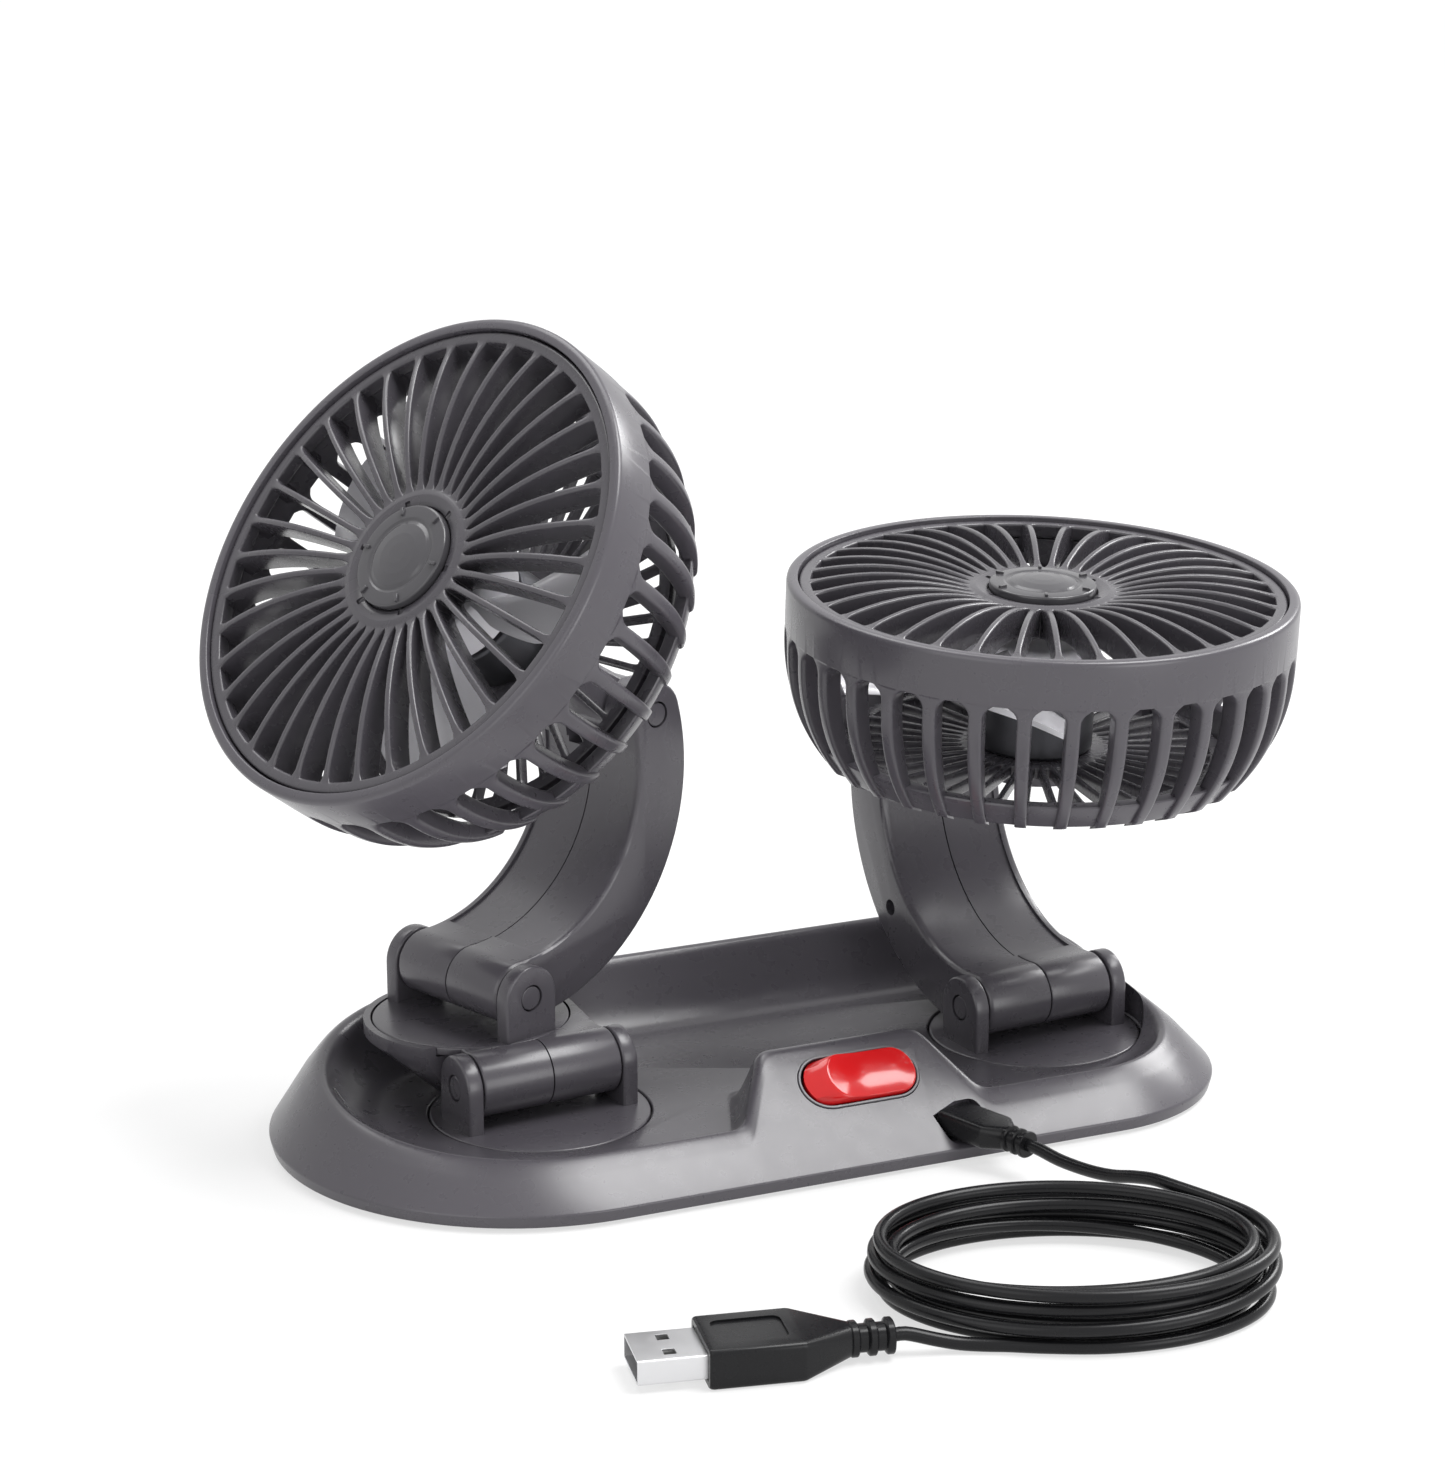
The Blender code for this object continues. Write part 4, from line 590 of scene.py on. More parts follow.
def rectangle(width, height, radius, steps=5):
    """Outline of a rectangle about its centre with rounded corners."""
    w, h = width / 2, height / 2
    return rounded([(-w, -h), (w, -h), (w, h), (-w, h)], radius, steps)


def block(low, high, edge=0.0):
    outline = [(low[0], low[1]), (high[0], low[1]), (high[0], high[1]), (low[0], high[1])]
    shape = prism(outline, low[2], high[2])
    if edge:
        soften(shape, shape.edges[:], edge)
    return shape


def stadium(length, width, steps=20):
    """Outline of a slot shape along X, anticlockwise."""
    reach = (length - width) / 2
    return (arc((reach, 0), width / 2, -math.pi / 2, math.pi, steps)
            + arc((-reach, 0), width / 2, math.pi / 2, math.pi, steps))


def moved(shape, matrix):
    shape.transform(matrix)
    return shape


def in_scene(name, data):
    made = bpy.data.objects.new(name, data)
    bpy.context.scene.collection.objects.link(made)
    return made


def hold(shape, name="working"):
    """A bmesh as an object in the scene."""
    mesh = bpy.data.meshes.new(name)
    bmesh.ops.recalc_face_normals(shape, faces=shape.faces)
    shape.to_mesh(mesh)
    shape.free()
    return in_scene(name, mesh)


def taken(obj):
    """The object's mesh with its modifiers applied, as a bmesh; the object goes."""
    graph = bpy.context.evaluated_depsgraph_get()
    mesh = bpy.data.meshes.new_from_object(obj.evaluated_get(graph))
    shape = bmesh.new()
    shape.from_mesh(mesh)
    bpy.data.meshes.remove(mesh)
    bpy.data.objects.remove(obj, do_unlink=True)
    return shape


def carved(shape, add=(), cut=(), keep=()):
    """The shape joined with some shapes, then cut by some, then kept only inside others."""
    body = hold(shape)
    tools = []
    for operation, tool_shapes in (("UNION", add), ("DIFFERENCE", cut), ("INTERSECT", keep)):
        for tool_shape in tool_shapes:
            tools.append(hold(tool_shape))
            step = body.modifiers.new(operation, "BOOLEAN")
            step.operation = operation
            step.solver = "EXACT"
            step.object = tools[-1]
    result = taken(body)
    for tool in tools:
        bpy.data.objects.remove(tool, do_unlink=True)
    bmesh.ops.remove_doubles(result, verts=result.verts, dist=WELD_DISTANCE)
    bmesh.ops.dissolve_degenerate(result, edges=result.edges, dist=WELD_DISTANCE)
    return result


def piece(name, shape, place, paint, body, node=None, edge=0.0, sharp=SHARP):
    """A finished piece: its place goes into its mesh, and it rides on a body in place of its node."""
    made = hold(moved(shape, place), name)
    made.data.materials.clear()
    made.data.materials.append(paint)
    made.data.shade_smooth()
    made.data.set_sharp_from_angle(angle=math.radians(sharp))
    if edge:
        bevel = made.modifiers.new("edges", "BEVEL")
        bevel.width = edge
        bevel.segments = 2
        bevel.limit_method = "ANGLE"
        bevel.angle_limit = math.radians(sharp)
        bevel.harden_normals = False
    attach(made, body)
    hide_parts(node or name)
    return made


def ring_tree():
    """A node tree that copies a mesh round Z, welds the copies and gives them their finish."""
    tree = bpy.data.node_groups.new("copies round an axis", "GeometryNodeTree")
    for label, kind, way in (("Geometry", "Geometry", "INPUT"), ("Copies", "Int", "INPUT"),
                             ("Weld Distance", "Float", "INPUT"), ("Finish", "Material", "INPUT"),
                             ("Geometry", "Geometry", "OUTPUT")):
        tree.interface.new_socket(label, in_out=way, socket_type=f"NodeSocket{kind}")
    given, result, points, place, real, weld, paint, number, step, angle, euler, turn = (
        tree.nodes.new(kind) for kind in (
            "NodeGroupInput", "NodeGroupOutput", "GeometryNodePoints", "GeometryNodeInstanceOnPoints",
            "GeometryNodeRealizeInstances", "GeometryNodeMergeByDistance", "GeometryNodeSetMaterial",
            "GeometryNodeInputIndex", "ShaderNodeMath", "ShaderNodeMath", "ShaderNodeCombineXYZ",
            "FunctionNodeEulerToRotation"))
    step.operation = "DIVIDE"
    step.inputs[0].default_value = 2 * math.pi
    angle.operation = "MULTIPLY"
    wire(tree.links, (given, "Copies", step, 1), (number, "Index", angle, 0), (step, "Value", angle, 1),
         (angle, "Value", euler, "Z"), (euler, "Vector", turn, "Euler"), (given, "Copies", points, "Count"),
         (points, "Geometry", place, "Points"), (given, "Geometry", place, "Instance"),
         (turn, "Rotation", place, "Rotation"), (place, "Instances", real, "Geometry"),
         (real, "Geometry", weld, "Geometry"), (given, "Weld Distance", weld, "Distance"),
         (weld, "Geometry", paint, "Geometry"), (given, "Finish", paint, "Material"),
         (paint, "Geometry", result, "Geometry"))
    return tree


RING_TREE = ring_tree()


def copies_round(shape, count, paint):
    """The shape copied round Z."""
    holder = hold(shape)
    copier = holder.modifiers.new("copies", "NODES")
    copier.node_group = RING_TREE
    sockets = {item.name: item.identifier for item in RING_TREE.interface.items_tree
               if item.in_out == "INPUT"}
    copier[sockets["Copies"]] = count
    copier[sockets["Weld Distance"]] = WELD_DISTANCE
    copier[sockets["Finish"]] = paint
    return taken(holder)


# Places of the moving groups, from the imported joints

def joint_place(name):
    return Vector(JOINTS[name]["pos_m"])


def joint_way(name):
    return Vector(JOINTS[name]["axis"]).normalized()


def frame_at(place, x_way, z_way):
    """A frame at a place with its X along x_way and its Z as near z_way as that allows."""
    x = x_way.normalized()
    y = z_way.cross(x).normalized()
    z = x.cross(y)
    matrix = Matrix((x, y, z)).transposed().to_4x4()
    matrix.translation = place
    return matrix


def arm_frame(side):
    """X along the lower pin and Y to the upper one."""
    low, high = joint_place(f"{side}_arm_fold"), joint_place(f"{side}_head_tilt")
    x = joint_way(f"{side}_arm_fold")
    return frame_at(low, x, x.cross(high - low))


def upright_frame(place, yaw):
    return Matrix.Translation(Vector(place)) @ Matrix.Rotation(math.radians(yaw), 4, "Z")


INLET_FRAME = upright_frame((INLET_X, INLET_Y, INLET_HEIGHT), INLET_YAW)
USB_FRAME = upright_frame((USB_X, USB_Y, USB_BODY_THICKNESS / 2), USB_YAW - 90)


# Cord: one line from the plug in the base through the coil to the plug at its far end

def coil_place(angle_degrees, drawn_in, height):
    c, s = polar(1, math.radians(angle_degrees))
    flat = Vector(((COIL_LONG_RADIUS - drawn_in) * c, (COIL_SHORT_RADIUS - drawn_in) * s, height))
    return Matrix.Rotation(math.radians(COIL_TURN_ANGLE), 3, "Z") @ flat + COIL_CENTRE


def coil_points():
    """The coil's centre line, clockwise from the top layer's outside to the bottom layer's outside."""
    total = COIL_WHOLE_TURNS + (COIL_START - COIL_END) / 360
    spiral = (total - (COIL_LAYERS - 1) * CLIMB_TURNS) / COIL_LAYERS
    count = round(total * POINTS_PER_LOOP)
    top = CORD_REST + (COIL_LAYERS - 1) * COIL_LAYER_PITCH
    points = []
    for i in range(count + 1):
        turns = total * i / count
        layer = min(int(turns / (spiral + CLIMB_TURNS)), COIL_LAYERS - 1)
        within = turns - layer * (spiral + CLIMB_TURNS)
        share = min(within / spiral, 1.0)
        inwards = share if layer % 2 == 0 else 1.0 - share
        climb = smooth_step((within - spiral) / CLIMB_TURNS) if layer < COIL_LAYERS - 1 else 0.0
        height = top - (layer + climb) * COIL_LAYER_PITCH
        points.append(coil_place(COIL_START - 360 * turns, inwards * spiral * COIL_PITCH, height))
    return points


def evenly_spaced(fine, spacing):
    """Points at even distances along a path of close points."""
    lengths = [0.0]
    for a, b in zip(fine, fine[1:]):
        lengths.append(lengths[-1] + (b - a).length)
    count = max(round(lengths[-1] / spacing), 2)
    even = []
    index = 0
    for i in range(count + 1):
        goal = lengths[-1] * i / count
        while index < len(fine) - 2 and lengths[index + 1] < goal:
            index += 1
        span = lengths[index + 1] - lengths[index]
        even.append(fine[index].lerp(fine[index + 1], (goal - lengths[index]) / span))
    return even


def cord_line():
    plug_length = INLET_PLUG_LENGTH + INLET_SHOULDER + INLET_RELIEF_LENGTH
    start = INLET_FRAME @ Vector((0, -plug_length, 0))
    way = (INLET_FRAME.to_3x3() @ Vector((0, -1, 0))).normalized()
    plug_way = (USB_FRAME.to_3x3() @ Vector((0, 1, 0))).normalized()
    end = USB_FRAME.to_translation()
    points = [start, start + way * CORD_DIAMETER]
    points += [Vector(point) for point in LEAD_ROUTE]
    points += coil_points()
    points += [Vector(point) for point in TAIL_ROUTE]
    points += [end - plug_way * CORD_DIAMETER, end]
    return evenly_spaced(smooth_curve(points, CURVE_STEPS), CORD_SPACING)


def build_cord():
    line = cord_line()
    curve = bpy.data.curves.new("cord", "CURVE")
    curve.dimensions = "3D"
    curve.bevel_depth = CORD_RADIUS
    curve.bevel_resolution = CORD_ROUNDNESS
    curve.use_fill_caps = True
    spline = curve.splines.new("POLY")
    spline.points.add(len(line) - 1)
    for target, point in zip(spline.points, line):
        target.co = (*point, 1)
    curve.materials.append(CORD_BLACK)
    made = in_scene("cord", curve)
    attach(made, "base")
    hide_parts("cord_lead", "cord_coil", "cord_tail")
    length = sum((b - a).length for a, b in zip(line, line[1:]))
    print("cord length, mm:", round(length * 1000, 1))
    return made, line[0], length


# Camera, light and floor

def build_camera():
    data = bpy.data.cameras.new("camera")
    data.lens = CAMERA_LENS
    data.sensor_fit = "VERTICAL"
    data.sensor_height = CAMERA_SENSOR
    data.sensor_width = CAMERA_SENSOR
    made = in_scene("camera", data)
    made.location = CAMERA_PLACE
    made.rotation_euler = [math.radians(angle) for angle in CAMERA_TURN]
    bpy.context.scene.camera = made


def seen_directly(nodes, links):
    """A node whose value is one for camera, glossy and transmission rays and zero for light."""
    path = nodes.new("ShaderNodeLightPath")
    first, second = nodes.new("ShaderNodeMath"), nodes.new("ShaderNodeMath")
    for node in (first, second):
        node.operation = "MAXIMUM"
    wire(links, (path, "Is Camera Ray", first, 0), (path, "Is Glossy Ray", first, 1),
         (first, "Value", second, 0), (path, "Is Transmission Ray", second, 1))
    return second


def build_world():
    world = bpy.data.worlds.new("studio")
    bpy.context.scene.world = world
    world.use_nodes = True
    nodes, links = world.node_tree.nodes, world.node_tree.links
    ambient, backdrop = nodes["Background"], nodes.new("ShaderNodeBackground")
    fill(ambient, {"Color": WHITE, "Strength": AMBIENT_STRENGTH})
    fill(backdrop, {"Color": WHITE})
    mix = nodes.new("ShaderNodeMixShader")
    wire(links, (seen_directly(nodes, links), "Value", mix, "Fac"), (ambient, "Background", mix, 1),
         (backdrop, "Background", mix, 2), (mix, "Shader", nodes["World Output"], "Surface"))


def build_floor():
    """A pale floor that keeps the object's shadow and otherwise melts into the backdrop."""
    made, nodes, links = new_material("pale floor")
    shader, glow = nodes["Principled BSDF"], nodes.new("ShaderNodeEmission")
    fill(shader, {"Base Color": FLOOR_COLOUR, "Roughness": FLOOR_ROUGHNESS})
    fill(glow, {"Color": WHITE})
    share, mix = nodes.new("ShaderNodeMath"), nodes.new("ShaderNodeMixShader")
    share.operation = "MULTIPLY"
    share.inputs[1].default_value = FLOOR_GLOW_SHARE
    wire(links, (seen_directly(nodes, links), "Value", share, 0), (share, "Value", mix, "Fac"),
         (shader, "BSDF", mix, 1), (glow, "Emission", mix, 2),
         (mix, "Shader", nodes["Material Output"], "Surface"))
    mesh = bpy.data.meshes.new("floor")
    corners = [(x * FLOOR_REACH, y * FLOOR_REACH, -FLOOR_DROP)
               for x, y in ((-1, -1), (1, -1), (1, 1), (-1, 1))]
    mesh.from_pydata(corners, [], [(0, 1, 2, 3)])
    mesh.materials.append(made)
    floor = in_scene("floor", mesh)


def add_lamp(data, place):
    lamp = in_scene(data.name, data)
    lamp.location = place
    lamp.rotation_euler = (LAMP_TARGET - Vector(place)).to_track_quat("-Z", "Y").to_euler()


def build_lamps():
    for name, place, size, power in LAMPS:
        data = bpy.data.lights.new(name, "AREA")
        data.size = size
        data.energy = power
        add_lamp(data, place)
    main = bpy.data.lights.new("main", "SUN")
    main.angle = math.radians(MAIN_LIGHT_WIDTH)
    main.energy = MAIN_LIGHT_STRENGTH
    add_lamp(main, LAMP_TARGET + MAIN_LIGHT_FROM)


# Base

def round_stations(centre, radius, angles):
    ways = [polar(1, math.radians(angle)) for angle in angles]
    return [((centre[0] + radius * x, centre[1] + radius * y), (x, y)) for x, y in ways]


def base_stations():
    """Places round the base's edge, anticlockwise from the front left, each with its outward direction."""
    corner_y = HALF_WIDTH - RIGHT_CORNER_RADIUS
    boss_half = BOSS_TOP_LENGTH / 2
    marks = (LEFT_CENTRE_X, BOSS_CENTRE_X - boss_half - BOSS_FLANK, BOSS_CENTRE_X - boss_half,
             BOSS_CENTRE_X + boss_half, BOSS_CENTRE_X + boss_half + BOSS_FLANK, RIGHT_CENTRE_X)
    counts = (FRONT_SIDE_STEPS, FLANK_STEPS, BOSS_TOP_STEPS, FLANK_STEPS, FRONT_SIDE_STEPS)
    stations = [((x, -HALF_WIDTH), (0, -1)) for start, end, steps in zip(marks, marks[1:], counts)
                for x in spaced(start, end, steps)]
    for centre_y, first in ((-corner_y, -90), (corner_y, 0)):
        stations += round_stations((RIGHT_CENTRE_X, centre_y), RIGHT_CORNER_RADIUS,
                                   spaced(first, first + 90, CORNER_STEPS) + [first + 90])
    stations += [((x, HALF_WIDTH), (0, 1)) for x in spaced(RIGHT_CENTRE_X, LEFT_CENTRE_X, BACK_STEPS)[1:]]
    return stations + round_stations((LEFT_CENTRE_X, 0), LEFT_END_RADIUS, spaced(90, 270, LEFT_END_STEPS))


def boss_share(x, outward):
    """How far the switch boss has risen at a place on the front wall, from 0 to 1."""
    if outward[1] > FRONT_FACING:
        return 0.0
    run = min(max(abs(x - BOSS_CENTRE_X) - BOSS_TOP_LENGTH / 2, 0.0), BOSS_FLANK)
    if run < CORNER_RUN:
        drop = BOSS_CORNER_RADIUS - math.sqrt(BOSS_CORNER_RADIUS ** 2 - run ** 2)
    elif run < BOSS_FLANK - CORNER_RUN:
        drop = CORNER_DROP + (run - CORNER_RUN) * FLANK_TAN
    else:
        left = BOSS_FLANK - run
        drop = FLANK_DROP - BOSS_CORNER_RADIUS + math.sqrt(BOSS_CORNER_RADIUS ** 2 - left ** 2)
    return 1.0 - drop / FLANK_DROP


def crest(place, outward):
    """Height and inset of the base's crest, which rises to the back and over the switch boss."""
    depth_share = (place[1] + HALF_WIDTH) / BASE_WIDTH
    height = FRONT_CREST_HEIGHT + (BACK_CREST_HEIGHT - FRONT_CREST_HEIGHT) * depth_share ** CREST_RISE_POWER
    rise = boss_share(place[0], outward) * (BOSS_HEIGHT - height)
    return height + rise, CREST_INSET + rise / math.tan(math.radians(FRONT_SLOPE))


def outer_profile(place, outward):
    """(inset, height) points of the base's outside, from the skirt over the crest to the tray floor."""
    height, inset = crest(place, outward)
    slope = (height - SKIRT_TOP) / inset
    drop = height - FLOOR_HEIGHT
    run = DISH_RUN + DISH_RUN_PER_HEIGHT * drop
    before_crest = (inset - CREST_RADIUS, height - slope * CREST_RADIUS)
    foot = rounded([(SKIRT_DRAFT, PAD_THICKNESS), (0.0, SKIRT_TOP), before_crest], SKIRT_EDGE, closed=False)
    top = [Vector(before_crest), Vector((inset, height - CREST_RADIUS * slope * CREST_DROP_SHARE))]
    top += [Vector((inset + run * run_share, height - drop * drop_share))
            for run_share, drop_share in DISH_SHARES]
    return foot[:-1] + smooth_curve(top, DISH_STEPS)


def inset_point(place, outward, inset):
    return place[0] - outward[0] * inset, place[1] - outward[1] * inset


def base_rings():
    columns = [[Vector((*inset_point(place, outward, inset), height))
                for inset, height in outer_profile(place, outward)] for place, outward in base_stations()]
    return [list(ring) for ring in zip(*columns)]


def inset_outline(inset):
    return [inset_point(place, outward, inset) for place, outward in base_stations()]


def face_frame():
    """Frame of the sloping front face: X along the base, Y up the slope, Z out of the face."""
    tilt = math.radians(FRONT_SLOPE)
    foot = Vector((0, -HALF_WIDTH, SKIRT_TOP))
    up_slope = Vector((0, math.cos(tilt), math.sin(tilt)))
    centre = foot + up_slope * ROCKER_UP_SLOPE + Vector((ROCKER_X, 0, 0))
    return Matrix.Translation(centre) @ Matrix.Rotation(tilt, 4, "X")


def turntable_seat(side):
    """What the turntable takes from the tray's floor: a round recess with a soft rim, and the stub's bore."""
    place = joint_place(f"{side}_turntable")
    middle = Matrix.Translation((place.x, place.y, 0))
    wall = TURNTABLE_RADIUS + GAP
    floor = FLOOR_HEIGHT - DISC_THICKNESS - GAP
    rim = RECESS_EDGE * RECESS_EDGE_SHARE
    recess = turned([(0, floor), (wall, floor), (wall, FLOOR_HEIGHT - RECESS_EDGE),
                     (wall + rim, FLOOR_HEIGHT - rim), (wall + RECESS_EDGE, FLOOR_HEIGHT + GAP / 10),
                     (wall + RECESS_EDGE, BACK_CREST_HEIGHT), (0, BACK_CREST_HEIGHT)], SEAT_SIDES)
    return [moved(recess, middle), moved(cylinder(STUB_RADIUS + GAP, 0, FLOOR_HEIGHT), middle)]


def build_base_shell():
    board_low = (ROCKER_X - BOARD_LENGTH / 2 - GAP, INLET_Y, 0)
    board_high = (board_low[0] + BOARD_LENGTH + 2 * GAP, board_low[1] + BOARD_WIDTH + 2 * GAP,
                  COVER_TOP + BOARD_THICKNESS + 2 * GAP)
    cuts = [prism(inset_outline(SHELL_WALL), -OVERRUN, COVER_TOP + GAP),
            prism(inset_outline(SCREW_INSET + SCREW_WALL), 0, FLOOR_UNDERSIDE), block(board_low, board_high)]
    screw_y = HALF_WIDTH - SCREW_INSET
    cuts += [cylinder(SCREW_RADIUS + GAP, 0, SCREW_TIP + GAP, centre=(x, y), sides=24)
             for x in (LEFT_CENTRE_X, RIGHT_CENTRE_X) for y in (-screw_y, screw_y)]
    cuts += turntable_seat("left") + turntable_seat("right")
    extra = 2 * (BEZEL_WALL + WINDOW_CLEARANCE)
    window = prism(stadium(ROCKER_LENGTH + extra, ROCKER_WIDTH + extra), -SWITCH_DEPTH - GAP, SWITCH_DEPTH)
    mouth = prism(rectangle(INLET_PLUG_WIDTH + 4 * GAP, INLET_PLUG_THICKNESS + 4 * GAP,
                            INLET_PLUG_THICKNESS / 3), -INLET_PLUG_LENGTH, GAP, "Y")
    low = COVER_TOP + BOARD_THICKNESS / 2 - INLET_HEIGHT
    high = (INLET_PLUG_THICKNESS - SHELL_WALL) / 2
    half = INLET_PLUG_WIDTH / 2 + GAP
    room = block((-half, 0, low), (half, INLET_BLOCK_LENGTH + 2 * GAP, high + GAP))
    cuts += [moved(window, face_frame()), moved(mouth, INLET_FRAME), moved(room, INLET_FRAME)]
    piece("tray_base", carved(skin(base_rings()), cut=cuts), Matrix(), BODY_PLASTIC, "base", "base_shell",
          sharp=SHARP_BASE)


# Turntables, hinges and link

def ear_outline(foot, steps=20):
    """Side view (y, z) of an ear about its pin: a round top on straight flanks."""
    return [(-BARREL_RADIUS, foot), (BARREL_RADIUS, foot)] + arc((0, 0), BARREL_RADIUS, 0, math.pi, steps)


def pin_bore(y=0.0, z=0.0):
    return cylinder(PIN_RADIUS + GAP, -CLEVIS_WIDTH, CLEVIS_WIDTH, "X", (y, z), PIN_SIDES)


def clevis(disc_radius, stub_radius, stub_depth):
    """A disc with two ears and a stub; z = 0 is the disc's top."""
    body = lathe([(0, -DISC_THICKNESS), (disc_radius, -DISC_THICKNESS), (disc_radius, 0, DISC_EDGE), (0, 0)],
                 DISC_SIDES, steps=4)
    added = []
    for side in (-1, 1):
        inner, outer = side * (CLEVIS_WIDTH / 2 - EAR_THICKNESS), side * CLEVIS_WIDTH / 2
        ear = prism(ear_outline(-PIN_HEIGHT - DISC_THICKNESS / 2), min(inner, outer), max(inner, outer), "X",
                    EAR_EDGE)
        added.append(moved(ear, Matrix.Translation(UP * PIN_HEIGHT)))
    added.append(cylinder(stub_radius, -stub_depth, -DISC_THICKNESS / 2))
    return carved(body, add=added, cut=[pin_bore(z=PIN_HEIGHT)])


def hinge_pin(length, place):
    """A pin along X with rounded ends."""
    half = length / 2
    shape = lathe([(0, -half), (PIN_RADIUS, -half), (PIN_RADIUS, half), (0, half)], PIN_SIDES, steps=4)
    return moved(shape, Matrix.Translation(place) @ Matrix.Rotation(math.pi / 2, 4, "Y"))


def build_clevis(name, pin_name, fold, disc_radius, stub_radius, stub_depth):
    """A turntable and its hinge pin, which both ride on the turntable's own body."""
    place = frame_at(joint_place(name), joint_way(fold), UP)
    piece(name, clevis(disc_radius, stub_radius, stub_depth), place, BODY_PLASTIC, name)
    piece(pin_name, hinge_pin(CLEVIS_WIDTH - GAP, UP * PIN_HEIGHT), place, BODY_PLASTIC, name)


def half_space(side):
    """A block that keeps one side of a piece's middle seam."""
    near, far = side * ARM_SEAM / 2, side * CLEVIS_WIDTH
    size = ARM_CHORD * 2
    return block((min(near, far), -size, -size), (max(near, far), size, size))


def link_body(plate_low, top):
    """The link from its barrel to its round seat: deep at the barrel, thin along the seat's rim."""
    start = BARREL_RADIUS + 2 * GAP
    half = BARREL_LENGTH / 2
    shape = bmesh.new()
    for x in (-half, half):
        for z in (GAP - BARREL_RADIUS, top):
            shape.verts.new((x, start, z))
    rim = SWIVEL_RADIUS + LINK_WALL
    for reach, level in ((rim, top), (rim, top - LINK_RIM_HEIGHT),
                         (SWIVEL_RADIUS - LINK_PLATE_THICKNESS, plate_low)):
        for x, y in circle((LINK_REACH_X, LINK_REACH_Y), reach, DISC_SIDES):
            if y > start:
                shape.verts.new((x, y, level))
    found = bmesh.ops.convex_hull(shape, input=shape.verts)
    spare = {item for item in found["geom_interior"] + found["geom_unused"]
             if isinstance(item, bmesh.types.BMVert)}
    bmesh.ops.delete(shape, geom=list(spare), context="VERTS")
    bmesh.ops.dissolve_limit(shape, angle_limit=math.radians(LINK_FLATNESS), verts=shape.verts,
                             edges=shape.edges)
    return shape


def build_link():
    """The link's two halves: a barrel, a neck and a seat with a recess for the second turntable."""
    place = frame_at(joint_place("left_link_fold"), joint_way("left_link_fold"), UP)
    top, bottom = BARREL_RADIUS - GAP, GAP - BARREL_RADIUS
    seat_top = top - DISC_THICKNESS - GAP
    centre = (LINK_REACH_X, LINK_REACH_Y)
    half = BARREL_LENGTH / 2
    neck = [(0, bottom), (2 * BARREL_RADIUS, bottom), (2 * BARREL_RADIUS, top), (0, top)]
    for side, label in ((-1, "left"), (1, "right")):
        shape = carved(cylinder(BARREL_RADIUS, -half, half, "X", edge=LINK_EDGE),
                       add=[prism(neck, -half, half, "X", LINK_EDGE),
                            link_body(seat_top - LINK_PLATE_THICKNESS, top)],
                       cut=[cylinder(SWIVEL_RADIUS + GAP, seat_top, CLEVIS_WIDTH, centre=centre,
                                     sides=SEAT_SIDES),
                            cylinder(SWIVEL_STUB_RADIUS + GAP, -CLEVIS_WIDTH, CLEVIS_WIDTH, centre=centre),
                            pin_bore()],
                       keep=[half_space(side)])
        piece(f"link_{label}_half", shape, place, BODY_PLASTIC, "left_link", f"left_link_{label}_half")


# Arms

def arm_arc():
    """Radius, centre and half angle of the arc that an arm's middle line follows."""
    half_chord = ARM_CHORD / 2
    radius = (half_chord ** 2 + ARM_SAG ** 2) / (2 * ARM_SAG)
    return radius, (half_chord, radius - ARM_SAG), math.asin(half_chord / radius)


def arm_outline(steps=36, cap_steps=16):
    """Side view (y, z) of an arm: a band that sags below the line between its pins, with round ends."""
    radius, centre, spread = arm_arc()
    first = -math.pi / 2 - spread
    outer = arc(centre, radius + BARREL_RADIUS, first, 2 * spread, steps)
    inner = arc(centre, radius - BARREL_RADIUS, first, 2 * spread, steps)
    top = arc((ARM_CHORD, 0), BARREL_RADIUS, spread - math.pi / 2, math.pi, cap_steps)
    foot = arc((0, 0), BARREL_RADIUS, math.pi / 2 - spread, math.pi, cap_steps)
    return outer + top[1:-1] + inner[::-1] + foot[1:-1]


def channel_outline(steps=36):
    """Side view of what is taken off the arm's hollow side between its two rails."""
    radius, centre, spread = arm_arc()
    spread *= CHANNEL_SHARE
    reach = radius - BARREL_RADIUS
    first = -math.pi / 2 - spread
    return (arc(centre, reach + RAIL_HEIGHT, first, 2 * spread, steps)
            + arc(centre, reach - OVERRUN, first, 2 * spread, steps)[::-1])


